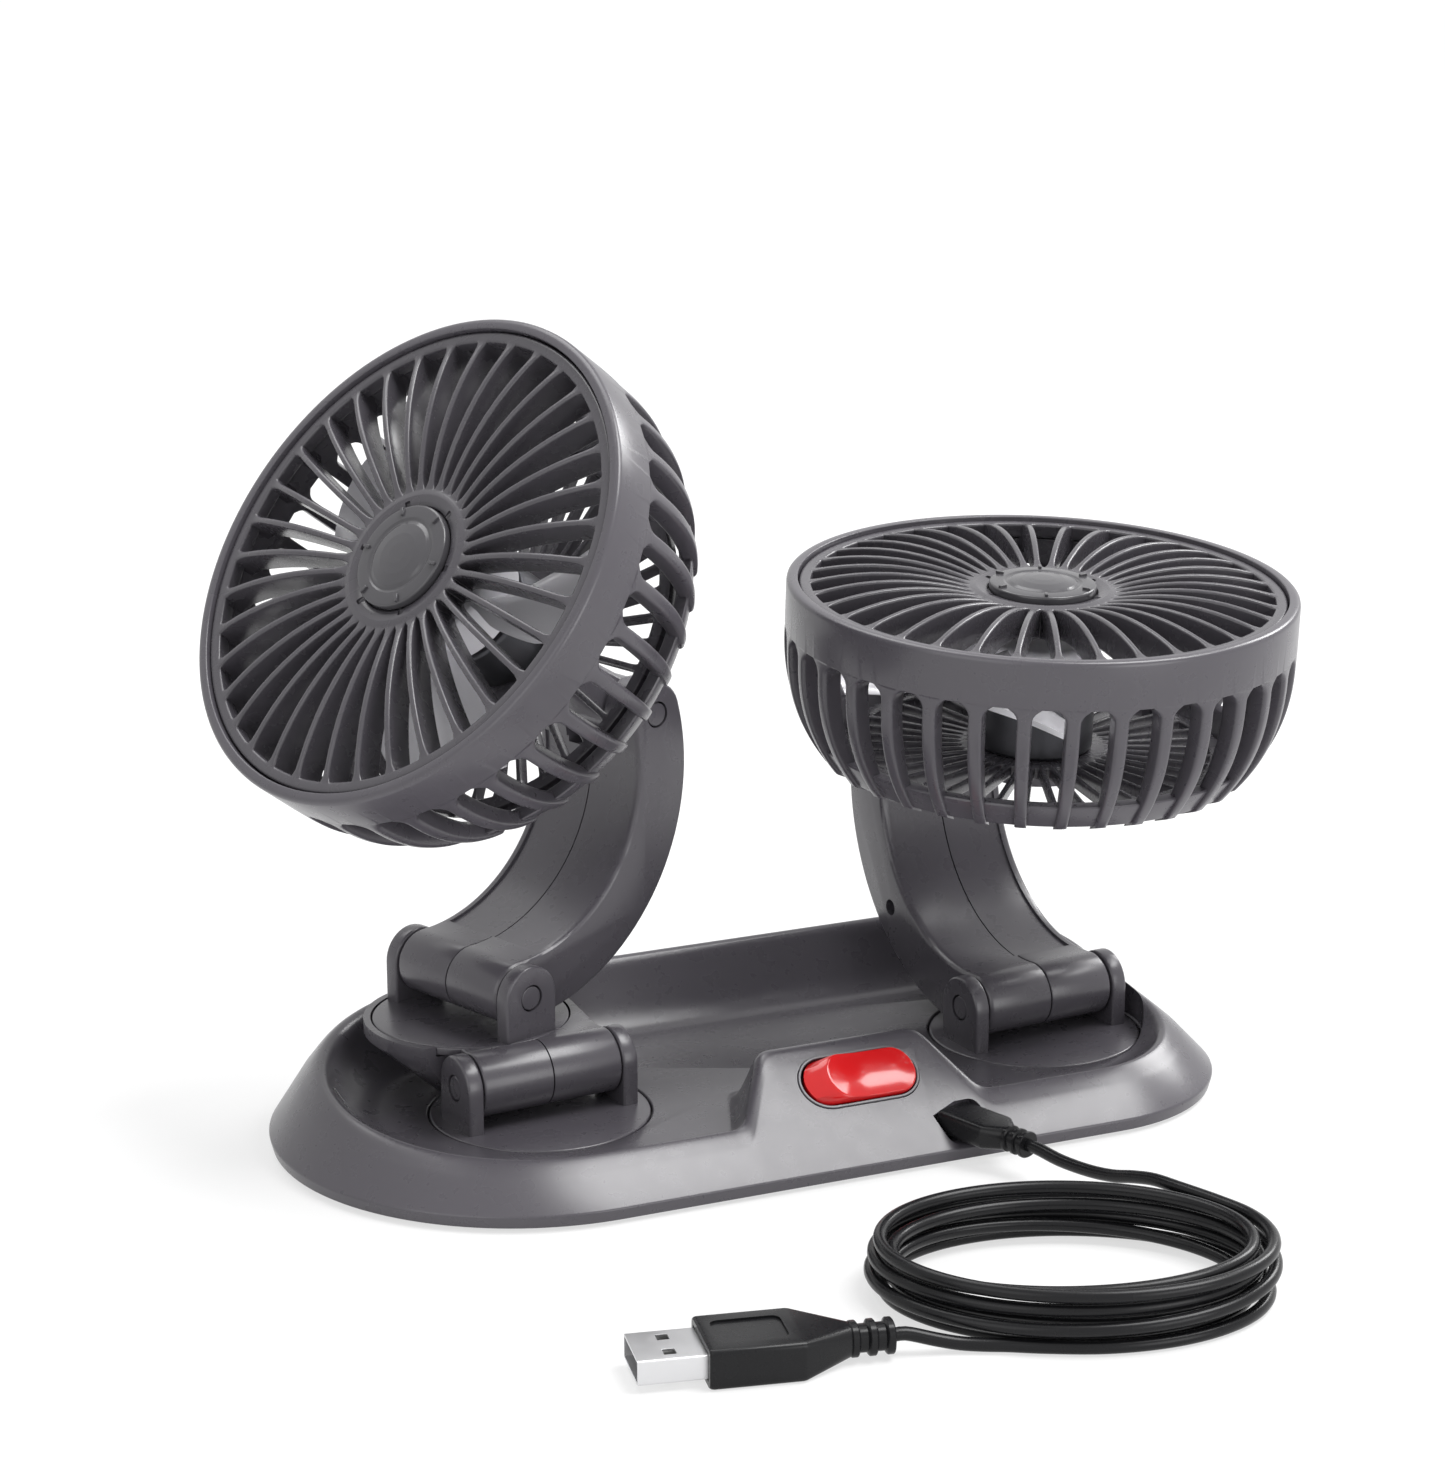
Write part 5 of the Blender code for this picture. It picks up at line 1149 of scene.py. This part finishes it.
def build_arm(side):
    place = arm_frame(side)
    half_length = BARREL_LENGTH / 2
    body = f"{side}_arm"
    channel_half = half_length - RAIL_WIDTH
    for direction, label in ((-1, "left"), (1, "right")):
        near, far = direction * ARM_SEAM / 2, direction * half_length
        shape = prism(arm_outline(), min(near, far), max(near, far), "X")
        for level, size in ((far, ARM_EDGE), (near, SEAM_EDGE)):
            rim = [e for e in shape.edges if all(abs(v.co.x - level) < SAME_LEVEL for v in e.verts)]
            bmesh.ops.bevel(shape, geom=rim, offset=size, segments=3, profile=0.5, affect="EDGES")
        cuts = [pin_bore(), pin_bore(ARM_CHORD), prism(channel_outline(), -channel_half, channel_half, "X"),
                cylinder(FORK_RADIUS, -FORK_WIDTH / 2, FORK_WIDTH / 2, "X", (ARM_CHORD, 0),
                         FLANGE_SIDES)]
        if direction < 0:
            high = -half_length + ARM_SCREW_HOLE_DEPTH
            cuts.append(cylinder(ARM_SCREW_HOLE_RADIUS, -half_length - OVERRUN, high, "X",
                                 (ARM_CHORD / 2, -ARM_SAG), 40))
        piece(f"{side}_arm_{label}_half", carved(shape, cut=cuts), place, BODY_PLASTIC, body, sharp=SHARP_ARM)
    pin = hinge_pin(2 * half_length - GAP, Vector((0, ARM_CHORD, 0)))
    piece(f"{side}_head_pin", pin, place, BODY_PLASTIC, body)


# Fan heads

def side_radius(depth):
    """Outer radius of a head at a depth behind the rim."""
    share = max(depth / HEAD_DEPTH - STRAIGHT_SHARE, 0) / (1 - STRAIGHT_SHARE)
    return HEAD_RADIUS * (1 - REAR_NARROWING_SHARE * share ** NARROWING_POWER)


def rib():
    """One rib of the head's side, flared where it meets the band so that the slot's top is round."""
    slot_half = math.pi * HEAD_RADIUS / RIB_COUNT - RIB_WIDTH / 2
    start = BAND_DEPTH - OVERRUN / 2
    rings = []
    for i in range(RIB_ROWS + 1):
        depth = start + (HEAD_DEPTH - start) * (i / RIB_ROWS) ** RIB_ROW_POWER
        below = depth - BAND_DEPTH
        radius = side_radius(depth)
        half = RIB_WIDTH / 2 * (1 - RIB_SLIMMING_SHARE * (1 - radius / HEAD_RADIUS))
        if below < SLOT_TOP_RADIUS:
            rise = min(1 - max(below, 0) / SLOT_TOP_RADIUS, SLOT_RISE_LIMIT)
            half += slot_half * SLOT_FLARE_SHARE * (1 - math.sqrt(1 - rise ** 2))
        slope = (side_radius(depth + GAP) - radius) / GAP
        ring = []
        for a, b in rectangle(2 * half, RIB_DEPTH, RIB_EDGE, 3):
            out = b - RIB_DEPTH / 2
            turn = a / HEAD_RADIUS
            ring.append(Vector((*polar(radius + out, turn), -depth - out * slope * RIB_LEAN_SHARE)))
        rings.append(ring)
    return skin(rings)


def housing():
    """Rim band with the grille's seat, ribs and rear ring."""
    inner = HEAD_RADIUS - RIB_DEPTH
    sides = RIB_COUNT * 5
    seat = -GRILLE_SEAT_DEPTH
    band = hoop_of([(HEAD_RADIUS, -BAND_DEPTH), (HEAD_RADIUS, 0, RIM_EDGE), (GRILLE_SEAT_RADIUS, 0),
                    (GRILLE_SEAT_RADIUS, seat), (inner, seat), (inner, -BAND_DEPTH)], sides)
    outer_low = side_radius(REAR_RING_START) - REAR_RING_SET_IN
    outer_rear = REAR_RADIUS - REAR_RING_SET_IN
    wall = RIB_DEPTH - REAR_RING_SET_IN
    rear_ring = hoop_of([(outer_low, -REAR_RING_START), (outer_low - wall, -REAR_RING_START),
                         (outer_rear - wall, -HEAD_DEPTH), (outer_rear, -HEAD_DEPTH)], sides, 2 * GAP)
    return carved(band, add=[copies_round(rib(), RIB_COUNT, BODY_PLASTIC), rear_ring])


def bowed_front(radius):
    """Front edge of the vanes: level at the ring and the hub, bowed forward between them."""
    ring_inner = GRILLE_SEAT_RADIUS - GAP - GRILLE_RING_WIDTH
    share = min(max((radius - HUB_RADIUS) / (ring_inner - HUB_RADIUS), 0), 1)
    return VANE_BOW * 4 * share * (1 - share) - VANE_SET_BACK


def level_front(radius):
    """Front edge of the rear bars."""
    return REAR_BAR_DEPTH


def bar(inner, outer, width, front_of, depth, fillet):
    """A radial bar along X from inside a hub to inside a ring, wider in a fillet where it meets them."""
    rings = []
    for i in range(BAR_STATIONS + 1):
        radius = inner + (outer - inner) * (0.5 - 0.5 * math.cos(math.pi * i / BAR_STATIONS))
        near = min(radius - inner, outer - radius)
        rise = min(max(1 - near / (2 * fillet), 0), BAR_RISE_LIMIT)
        half = width / 2 + fillet * BAR_FLARE_SHARE * (1 - math.sqrt(1 - rise ** 2))
        section = rectangle(2 * half, depth, width * BAR_CORNER_SHARE, 3)
        rings.append([Vector((radius, a, front_of(radius) - depth / 2 + b)) for a, b in section])
    return skin(rings)


def front_grille():
    """Hub with notches round the cap's seat, bowed vanes and a ring."""
    outer = GRILLE_SEAT_RADIUS - GAP
    inner = outer - GRILLE_RING_WIDTH
    top = -VANE_SET_BACK
    ring_low = top - (GRILLE_SEAT_DEPTH - GAP - VANE_SET_BACK)
    ring = hoop_of([(outer, top), (inner, top), (inner, ring_low), (outer, ring_low)], VANE_COUNT * 4,
                   2 * GAP)
    vane = bar(HUB_RADIUS - 2 * GAP, inner + 2 * GAP, VANE_WIDTH, bowed_front, VANE_DEPTH, VANE_FILLET)
    seat = HUB_CAP_RADIUS + GAP
    floor = -HUB_CAP_DEPTH - GAP
    hub = lathe([(0, top - VANE_DEPTH), (HUB_RADIUS, top - VANE_DEPTH), (HUB_RADIUS, top, 3 * GAP),
                 (HUB_RADIUS - HUB_RIM_INSET, top + GAP), (seat + HUB_SEAT_LIP, top), (seat, top - GAP),
                 (seat, floor), (0, floor)], VANE_COUNT * 3)
    notch = block((seat - GAP, -HUB_NOTCH_WIDTH / 2, top - 2 * GAP),
                  (seat + HUB_NOTCH_LENGTH, HUB_NOTCH_WIDTH / 2, 4 * GAP), GAP)
    return carved(hub, add=[copies_round(vane, VANE_COUNT, GRILLE_PLASTIC), ring],
                  cut=[copies_round(notch, HUB_NOTCH_COUNT, GRILLE_PLASTIC)])


def hub_cap():
    """Round cap: a flat rim with short raised ticks, and a low dome inside a groove."""
    profile = [(HUB_CAP_RADIUS * radius_share, HUB_CAP_DEPTH * (height_share - 1) + GAP)
               for radius_share, height_share in HUB_CAP_SHARES]
    tick = block((HUB_CAP_RADIUS * TICK_START_SHARE, -TICK_HALF_WIDTH, -GAP),
                 (HUB_CAP_RADIUS - GAP, TICK_HALF_WIDTH, TICK_TOP), GAP / 3)
    return carved(lathe(profile, FLANGE_SIDES, 2 * GAP, 4),
                  add=[copies_round(tick, HUB_NOTCH_COUNT, CAP_PLASTIC)])


def rear_grille():
    """Plate for the motor, straight bars and a ring."""
    outer = REAR_RADIUS - RIB_DEPTH - GAP
    inner = outer - REAR_RING_WIDTH
    sides = REAR_BAR_COUNT * 3
    ring = hoop_of([(outer, 0), (outer, REAR_BAR_DEPTH), (inner, REAR_BAR_DEPTH), (inner, 0)], sides)
    rear_bar = bar(REAR_HUB_RADIUS - 2 * GAP, inner + 2 * GAP, REAR_BAR_WIDTH, level_front, REAR_BAR_DEPTH,
                   REAR_BAR_WIDTH)
    hub = lathe([(0, 0), (REAR_HUB_RADIUS, 0, 2 * GAP), (REAR_HUB_RADIUS, REAR_BAR_DEPTH, 2 * GAP),
                 (0, REAR_BAR_DEPTH)], sides)
    return carved(hub, add=[copies_round(rear_bar, REAR_BAR_COUNT, GRILLE_PLASTIC), ring])


def between(shares, at):
    """A value read from evenly spaced shares at a place from 0 to 1, smoothed between them."""
    place = min(max(at, 0), 1) * (len(shares) - 1)
    index = min(int(place), len(shares) - 2)
    return shares[index] + (shares[index + 1] - shares[index]) * smooth_step(place - index)


def blade():
    """A swept and twisted blade along X, from inside the hub to its rounded tip."""
    root = IMPELLER_HUB_RADIUS * BLADE_ROOT_SHARE
    rings = []
    for i in range(BLADE_STATIONS + 1):
        reach_share = i / BLADE_STATIONS
        radius = root + (IMPELLER_RADIUS - root) * reach_share
        centre = math.radians(BLADE_SWEEP) * BLADE_LEAN_SHARE * reach_share
        half = math.radians(BLADE_SWEEP) / 2 * between(BLADE_WIDTH_SHARES, reach_share)
        fall_share = 1.0 - BLADE_FLATTEN_SHARE * reach_share
        front, back = [], []
        for j in range(BLADE_CHORD_POINTS + 1):
            chord_share = -math.cos(math.pi * j / BLADE_CHORD_POINTS)
            t = centre + half * chord_share
            camber = BLADE_THICKNESS * (1 - chord_share ** 2)
            level = -BLADE_SPAN / 2 * fall_share * chord_share + camber
            thick = BLADE_THICKNESS / 2 * math.sqrt(max(1 - chord_share ** 4, BLADE_RIM_SHARE))
            front.append(Vector((*polar(radius, t), level + thick)))
            back.append(Vector((*polar(radius, t), level - thick)))
        rings.append(front + back[::-1])
    return skin(rings)


def impeller():
    """Hub with a bore for the shaft, and its blades."""
    half = IMPELLER_HUB_LENGTH / 2
    hub = lathe([(0, -half), (IMPELLER_HUB_RADIUS, -half), (IMPELLER_HUB_RADIUS, half, IMPELLER_HUB_EDGE),
                 (0, half)], IMPELLER_SIDES, steps=5)
    bore = cylinder(SHAFT_RADIUS + GAP, -half - OVERRUN, half - OVERRUN, sides=32)
    return carved(hub, add=[copies_round(blade(), BLADE_COUNT, BLADE_PLASTIC)], cut=[bore])


def motor():
    """Can of the motor with a stepped front and the shaft's bore."""
    step = MOTOR_RADIUS * MOTOR_STEP_SHARE
    bore = SHAFT_RADIUS + GAP
    return lathe([(0, 0), (MOTOR_RADIUS, 0, 2 * GAP), (MOTOR_RADIUS, MOTOR_LENGTH - 2 * GAP, 3 * GAP),
                  (step, MOTOR_LENGTH - 2 * GAP), (step, MOTOR_LENGTH), (bore, MOTOR_LENGTH, GAP / 2),
                  (bore, MOTOR_LENGTH / 3, GAP / 2), (0, MOTOR_LENGTH / 3)],
                 MOTOR_SIDES)


def bracket(side):
    """Knuckle in the arm's fork, a stem and a flange on the head's rear plate."""
    offset, standoff = OFFSET[side], STANDOFF[side]
    half = FORK_WIDTH / 2 - GAP
    top = standoff - GAP
    flange = cylinder(FLANGE_RADIUS, top - FLANGE_THICKNESS, top, centre=(0, -offset),
                      sides=FLANGE_SIDES, edge=2 * GAP)
    if offset > KNUCKLE_RADIUS:
        stem = block((-half, -offset, top - STEM_THICKNESS), (half, 0, top - FLANGE_THICKNESS / 2), 3 * GAP)
    else:
        wide = KNUCKLE_RADIUS - 2 * GAP
        rings = []
        for level_share, width_share in STEM_SHARES:
            outline = rectangle(2 * half * width_share, 2 * wide * width_share,
                                wide * STEM_CORNER_SHARE)
            rings.append([Vector((x, y - offset, top * level_share)) for x, y in outline])
        stem = skin(rings)
    return carved(cylinder(KNUCKLE_RADIUS, -half, half, "X", edge=GAP), add=[stem, flange], cut=[pin_bore()])


def build_head(side):
    place = frame_at(joint_place(f"{side}_head_tilt"), joint_way(f"{side}_head_tilt"),
                     joint_way(f"{side}_fan_spin"))
    rim = place @ Matrix.Translation((0, -OFFSET[side], STANDOFF[side] + HEAD_DEPTH))
    rear = place @ Matrix.Translation((0, -OFFSET[side], STANDOFF[side]))
    motor_low = REAR_BAR_DEPTH + GAP
    fan_level = motor_low + MOTOR_LENGTH + HUB_CLEARANCE + IMPELLER_HUB_LENGTH / 2
    head, fan = f"{side}_head", f"{side}_fan"
    piece(f"{side}_head_bracket", bracket(side), place, BODY_PLASTIC, head)
    piece(f"{side}_head_housing", housing(), rim, BODY_PLASTIC, head, sharp=SHARP_HEAD)
    piece(f"{side}_front_grille", front_grille(), rim, GRILLE_PLASTIC, head, sharp=SHARP_HEAD)
    piece(f"{side}_hub_cap", hub_cap(), rim, CAP_PLASTIC, head)
    piece(f"{side}_rear_grille", rear_grille(), rear, GRILLE_PLASTIC, head, sharp=SHARP_HEAD)
    piece(f"{side}_motor", motor(), rear @ Matrix.Translation(UP * motor_low), DARK_STEEL, head)
    piece(f"{side}_impeller", impeller(), rear @ Matrix.Translation(UP * fan_level), BLADE_PLASTIC, fan)


# Switch

def rocker_rows(length, width):
    """(x, half width) along a slot shape, from its left tip to its right tip."""
    radius = width / 2
    reach = length / 2 - radius
    rows = []
    for i in range(ROCKER_END_STEPS):
        t = math.pi / 2 * i / ROCKER_END_STEPS
        rows.append((-reach - radius * math.cos(t), radius * math.sin(t)))
    right_end = [(-x, half) for x, half in rows[::-1]]
    rows += [(-reach + 2 * reach * i / ROCKER_SIDE_STEPS, radius) for i in range(ROCKER_SIDE_STEPS + 1)]
    return rows + right_end


def rocker_top(x):
    """Height of the rocker's top: two slopes that meet in a soft valley."""
    rise = math.hypot(x, ROCKER_VALLEY) - ROCKER_VALLEY
    return ROCKER_STAND + rise * math.tan(math.radians(ROCKER_ANGLE))


def rocker():
    """The rocker from its foot to its top, whose left end is cut back in a slanting face."""
    length = ROCKER_LENGTH * math.cos(math.radians(ROCKER_ANGLE))
    rows = rocker_rows(length, ROCKER_WIDTH)
    sides = [[(x * ROCKER_FOOT_SHARE, half, -ROCKER_DEPTH) for x, half in rows]]
    for x_share, y_share, edge_share, cut_back in ROCKER_LEVEL_SHARES:
        level = []
        for x, half in rows:
            along = x * x_share + cut_back * ROCKER_END_RUN * (0.5 - x / length)
            level.append((along, half * y_share, rocker_top(along) - edge_share * ROCKER_EDGE))
        sides.append(level)
    shape = skin([[Vector((x, -y, z)) for x, y, z in side] + [Vector(point) for point in side[-2:0:-1]]
                  for side in sides], lid=False)
    shape.verts.ensure_lookup_table()
    last = len(rows) - 1
    top = shape.verts[-2 * last:]
    for i in range(last):
        far = [top[-j] for j in (i + 1, i) if 0 < j < last]
        shape.faces.new([top[i], top[i + 1]] + far)
    return shape


def build_switch():
    place = face_frame()
    clearance = 2 * GAP
    wall = 2 * (BEZEL_WALL + GAP)
    cup = prism(stadium(ROCKER_LENGTH + wall, ROCKER_WIDTH + wall), -SWITCH_DEPTH, GAP)
    room = prism(stadium(ROCKER_LENGTH + clearance, ROCKER_WIDTH + clearance), SWITCH_FLOOR - SWITCH_DEPTH,
                 SWITCH_DEPTH)
    piece("switch_housing", carved(cup, cut=[room]), place, BODY_PLASTIC, "base", edge=GAP / 2)
    tilted = place @ Matrix.Rotation(math.radians(ROCKER_ANGLE), 4, "Y")
    piece("red_rocker", rocker(), tilted, ROCKER_RED, "switch_rocker", "switch_rocker", sharp=SHARP_ROCKER)


# Plugs on the cord

def plug_section(width, thickness, radius, along):
    return [Vector((a, along, b)) for a, b in rectangle(width, thickness, radius, 6)]


def relief_sections(start, length, radius):
    """Sections of a strain relief with round grooves, running towards -Y."""
    sections = []
    count = 2 * RELIEF_GROOVES + 1
    for i in range(count):
        grooved = i % 2 == 1
        for share, trim_share in RELIEF_RING_SHARES:
            size = radius * (RELIEF_GROOVE_SHARE if grooved else trim_share)
            sections.append(plug_section(2 * size, 2 * size, size, start - (i + share) * length / count))
    return sections


def build_inlet_plug():
    rear = -INLET_PLUG_LENGTH
    corner = INLET_PLUG_THICKNESS * INLET_PLUG_CORNER_SHARE
    rings = [plug_section(INLET_PLUG_WIDTH * share, INLET_PLUG_THICKNESS * share, corner, along)
             for along, share in ((0, 0.94), (-GAP, 0.985), (-2 * GAP, 1.0), (rear + 2 * GAP, 1.0),
                                  (rear + GAP / 2, 0.985))]
    rings += relief_sections(rear - INLET_SHOULDER, INLET_RELIEF_LENGTH, RELIEF_RADIUS)
    return piece("inlet_plug", skin(rings), INLET_FRAME, CORD_BLACK, "base", sharp=SHARP_PLUG)


def usb_overmould(body_start, body_end, buried):
    """Plug body with a sunk panel, a taper and a relief, and a socket for the metal shell."""
    thick = USB_BODY_THICKNESS
    rings = [plug_section(USB_BODY_WIDTH * share, thick * share, thick * USB_BODY_CORNER_SHARE, along)
             for along, share in ((body_end, 0.95), (body_end - GAP, 0.985), (body_end - 2.5 * GAP, 1.0),
                                  (body_start + 2 * GAP, 1.0), (body_start, 0.985))]
    rings += relief_sections(USB_RELIEF_LENGTH, USB_RELIEF_LENGTH, USB_RELIEF_RADIUS)
    room_w, room_t = USB_SHELL_WIDTH / 2 + GAP, USB_SHELL_THICKNESS / 2 + GAP
    socket = block((-room_w, buried - GAP, -room_t), (room_w, body_end + OVERRUN, room_t))
    panel = prism(rectangle(USB_PANEL_WIDTH, USB_PANEL_LENGTH, USB_PANEL_CORNER), thick / 2 - USB_PANEL_DEPTH,
                  thick)
    middle = Matrix.Translation((0, (body_start + body_end) / 2, 0))
    return carved(skin(rings), cut=[socket, moved(panel, middle)])


def build_usb_plug():
    """Overmould with its relief, metal shell and insulating tongue of the plug."""
    body_start = USB_RELIEF_LENGTH + USB_TAPER_LENGTH
    body_end = body_start + USB_BODY_LENGTH
    tip = body_end + USB_SHELL_LENGTH
    buried = body_end - USB_SHELL_BURIED
    half_w, half_t = USB_SHELL_WIDTH / 2, USB_SHELL_THICKNESS / 2
    wall = USB_SHELL_WALL
    body = piece("usb_plug_overmould", usb_overmould(body_start, body_end, buried), USB_FRAME, CORD_BLACK,
                 "base", "usb_plug_body", sharp=SHARP_PLUG)
    cuts = [prism(rectangle(USB_SHELL_WIDTH - 2 * wall, USB_SHELL_THICKNESS - 2 * wall, wall / 2),
                  buried + wall, tip + OVERRUN, "Y")]
    for side in (-1, 1):
        reach = Vector((USB_WINDOW / 2, USB_WINDOW / 2, half_t + OVERRUN))
        centre = Vector((side * half_w / 2, body_end + USB_SHELL_LENGTH / 2, 0))
        cuts.append(block(centre - reach, centre + reach))
    sleeve = carved(prism(rectangle(USB_SHELL_WIDTH, USB_SHELL_THICKNESS, wall), buried, tip, "Y"), cut=cuts)
    shell = piece("usb_plug_shell", sleeve, USB_FRAME, BRIGHT_STEEL, "base", edge=GAP / 4)
    low = wall + GAP - half_t
    tongue_shape = block((wall + GAP - half_w, buried + wall + GAP, low),
                         (half_w - wall - GAP, tip - USB_WINDOW, low + USB_TONGUE_THICKNESS), GAP / 2)
    tongue = piece("usb_plug_tongue", tongue_shape, USB_FRAME, TONGUE_PLASTIC, "base")
    return [body, shell, tongue]


# Nodes carried over from the frame, hidden or seen from below, keep their meshes
CARRIED = {"bottom_cover": COVER_PLASTIC, "dash_pad": PAD_RUBBER, "control_board": BOARD_GREEN}
CARRIED.update({name: STEEL for name in (
    "usb_inlet", "left_turntable_retainer", "right_turntable_retainer", "left_swivel_retainer",
    "left_motor_shaft", "right_motor_shaft", *[f"cover_screw_{i}" for i in (1, 2, 3, 4)])})


def dress_carried_nodes():
    for name, paint in CARRIED.items():
        mesh = frame["nodes"][name].data
        mesh.materials.clear()
        mesh.materials.append(paint)


bpy.context.scene.view_settings.view_transform = "Standard"
build_camera()
cord, cord_exit, cord_length = build_cord()
inlet_plug = build_inlet_plug()
usb_pieces = build_usb_plug()
build_world()
build_floor()
build_lamps()
build_base_shell()
build_switch()
for unit, lower_fold in (("left", "left_link_fold"), ("right", "right_arm_fold")):
    build_clevis(f"{unit}_turntable", f"{unit}_base_pin", lower_fold, TURNTABLE_RADIUS, STUB_RADIUS,
                 FLOOR_HEIGHT - FLOOR_UNDERSIDE)
    build_arm(unit)
    build_head(unit)
build_link()
build_clevis("left_swivel", "left_swivel_pin", "left_arm_fold", SWIVEL_RADIUS, SWIVEL_STUB_RADIUS,
             DISC_THICKNESS + GAP + LINK_PLATE_THICKNESS)
dress_carried_nodes()
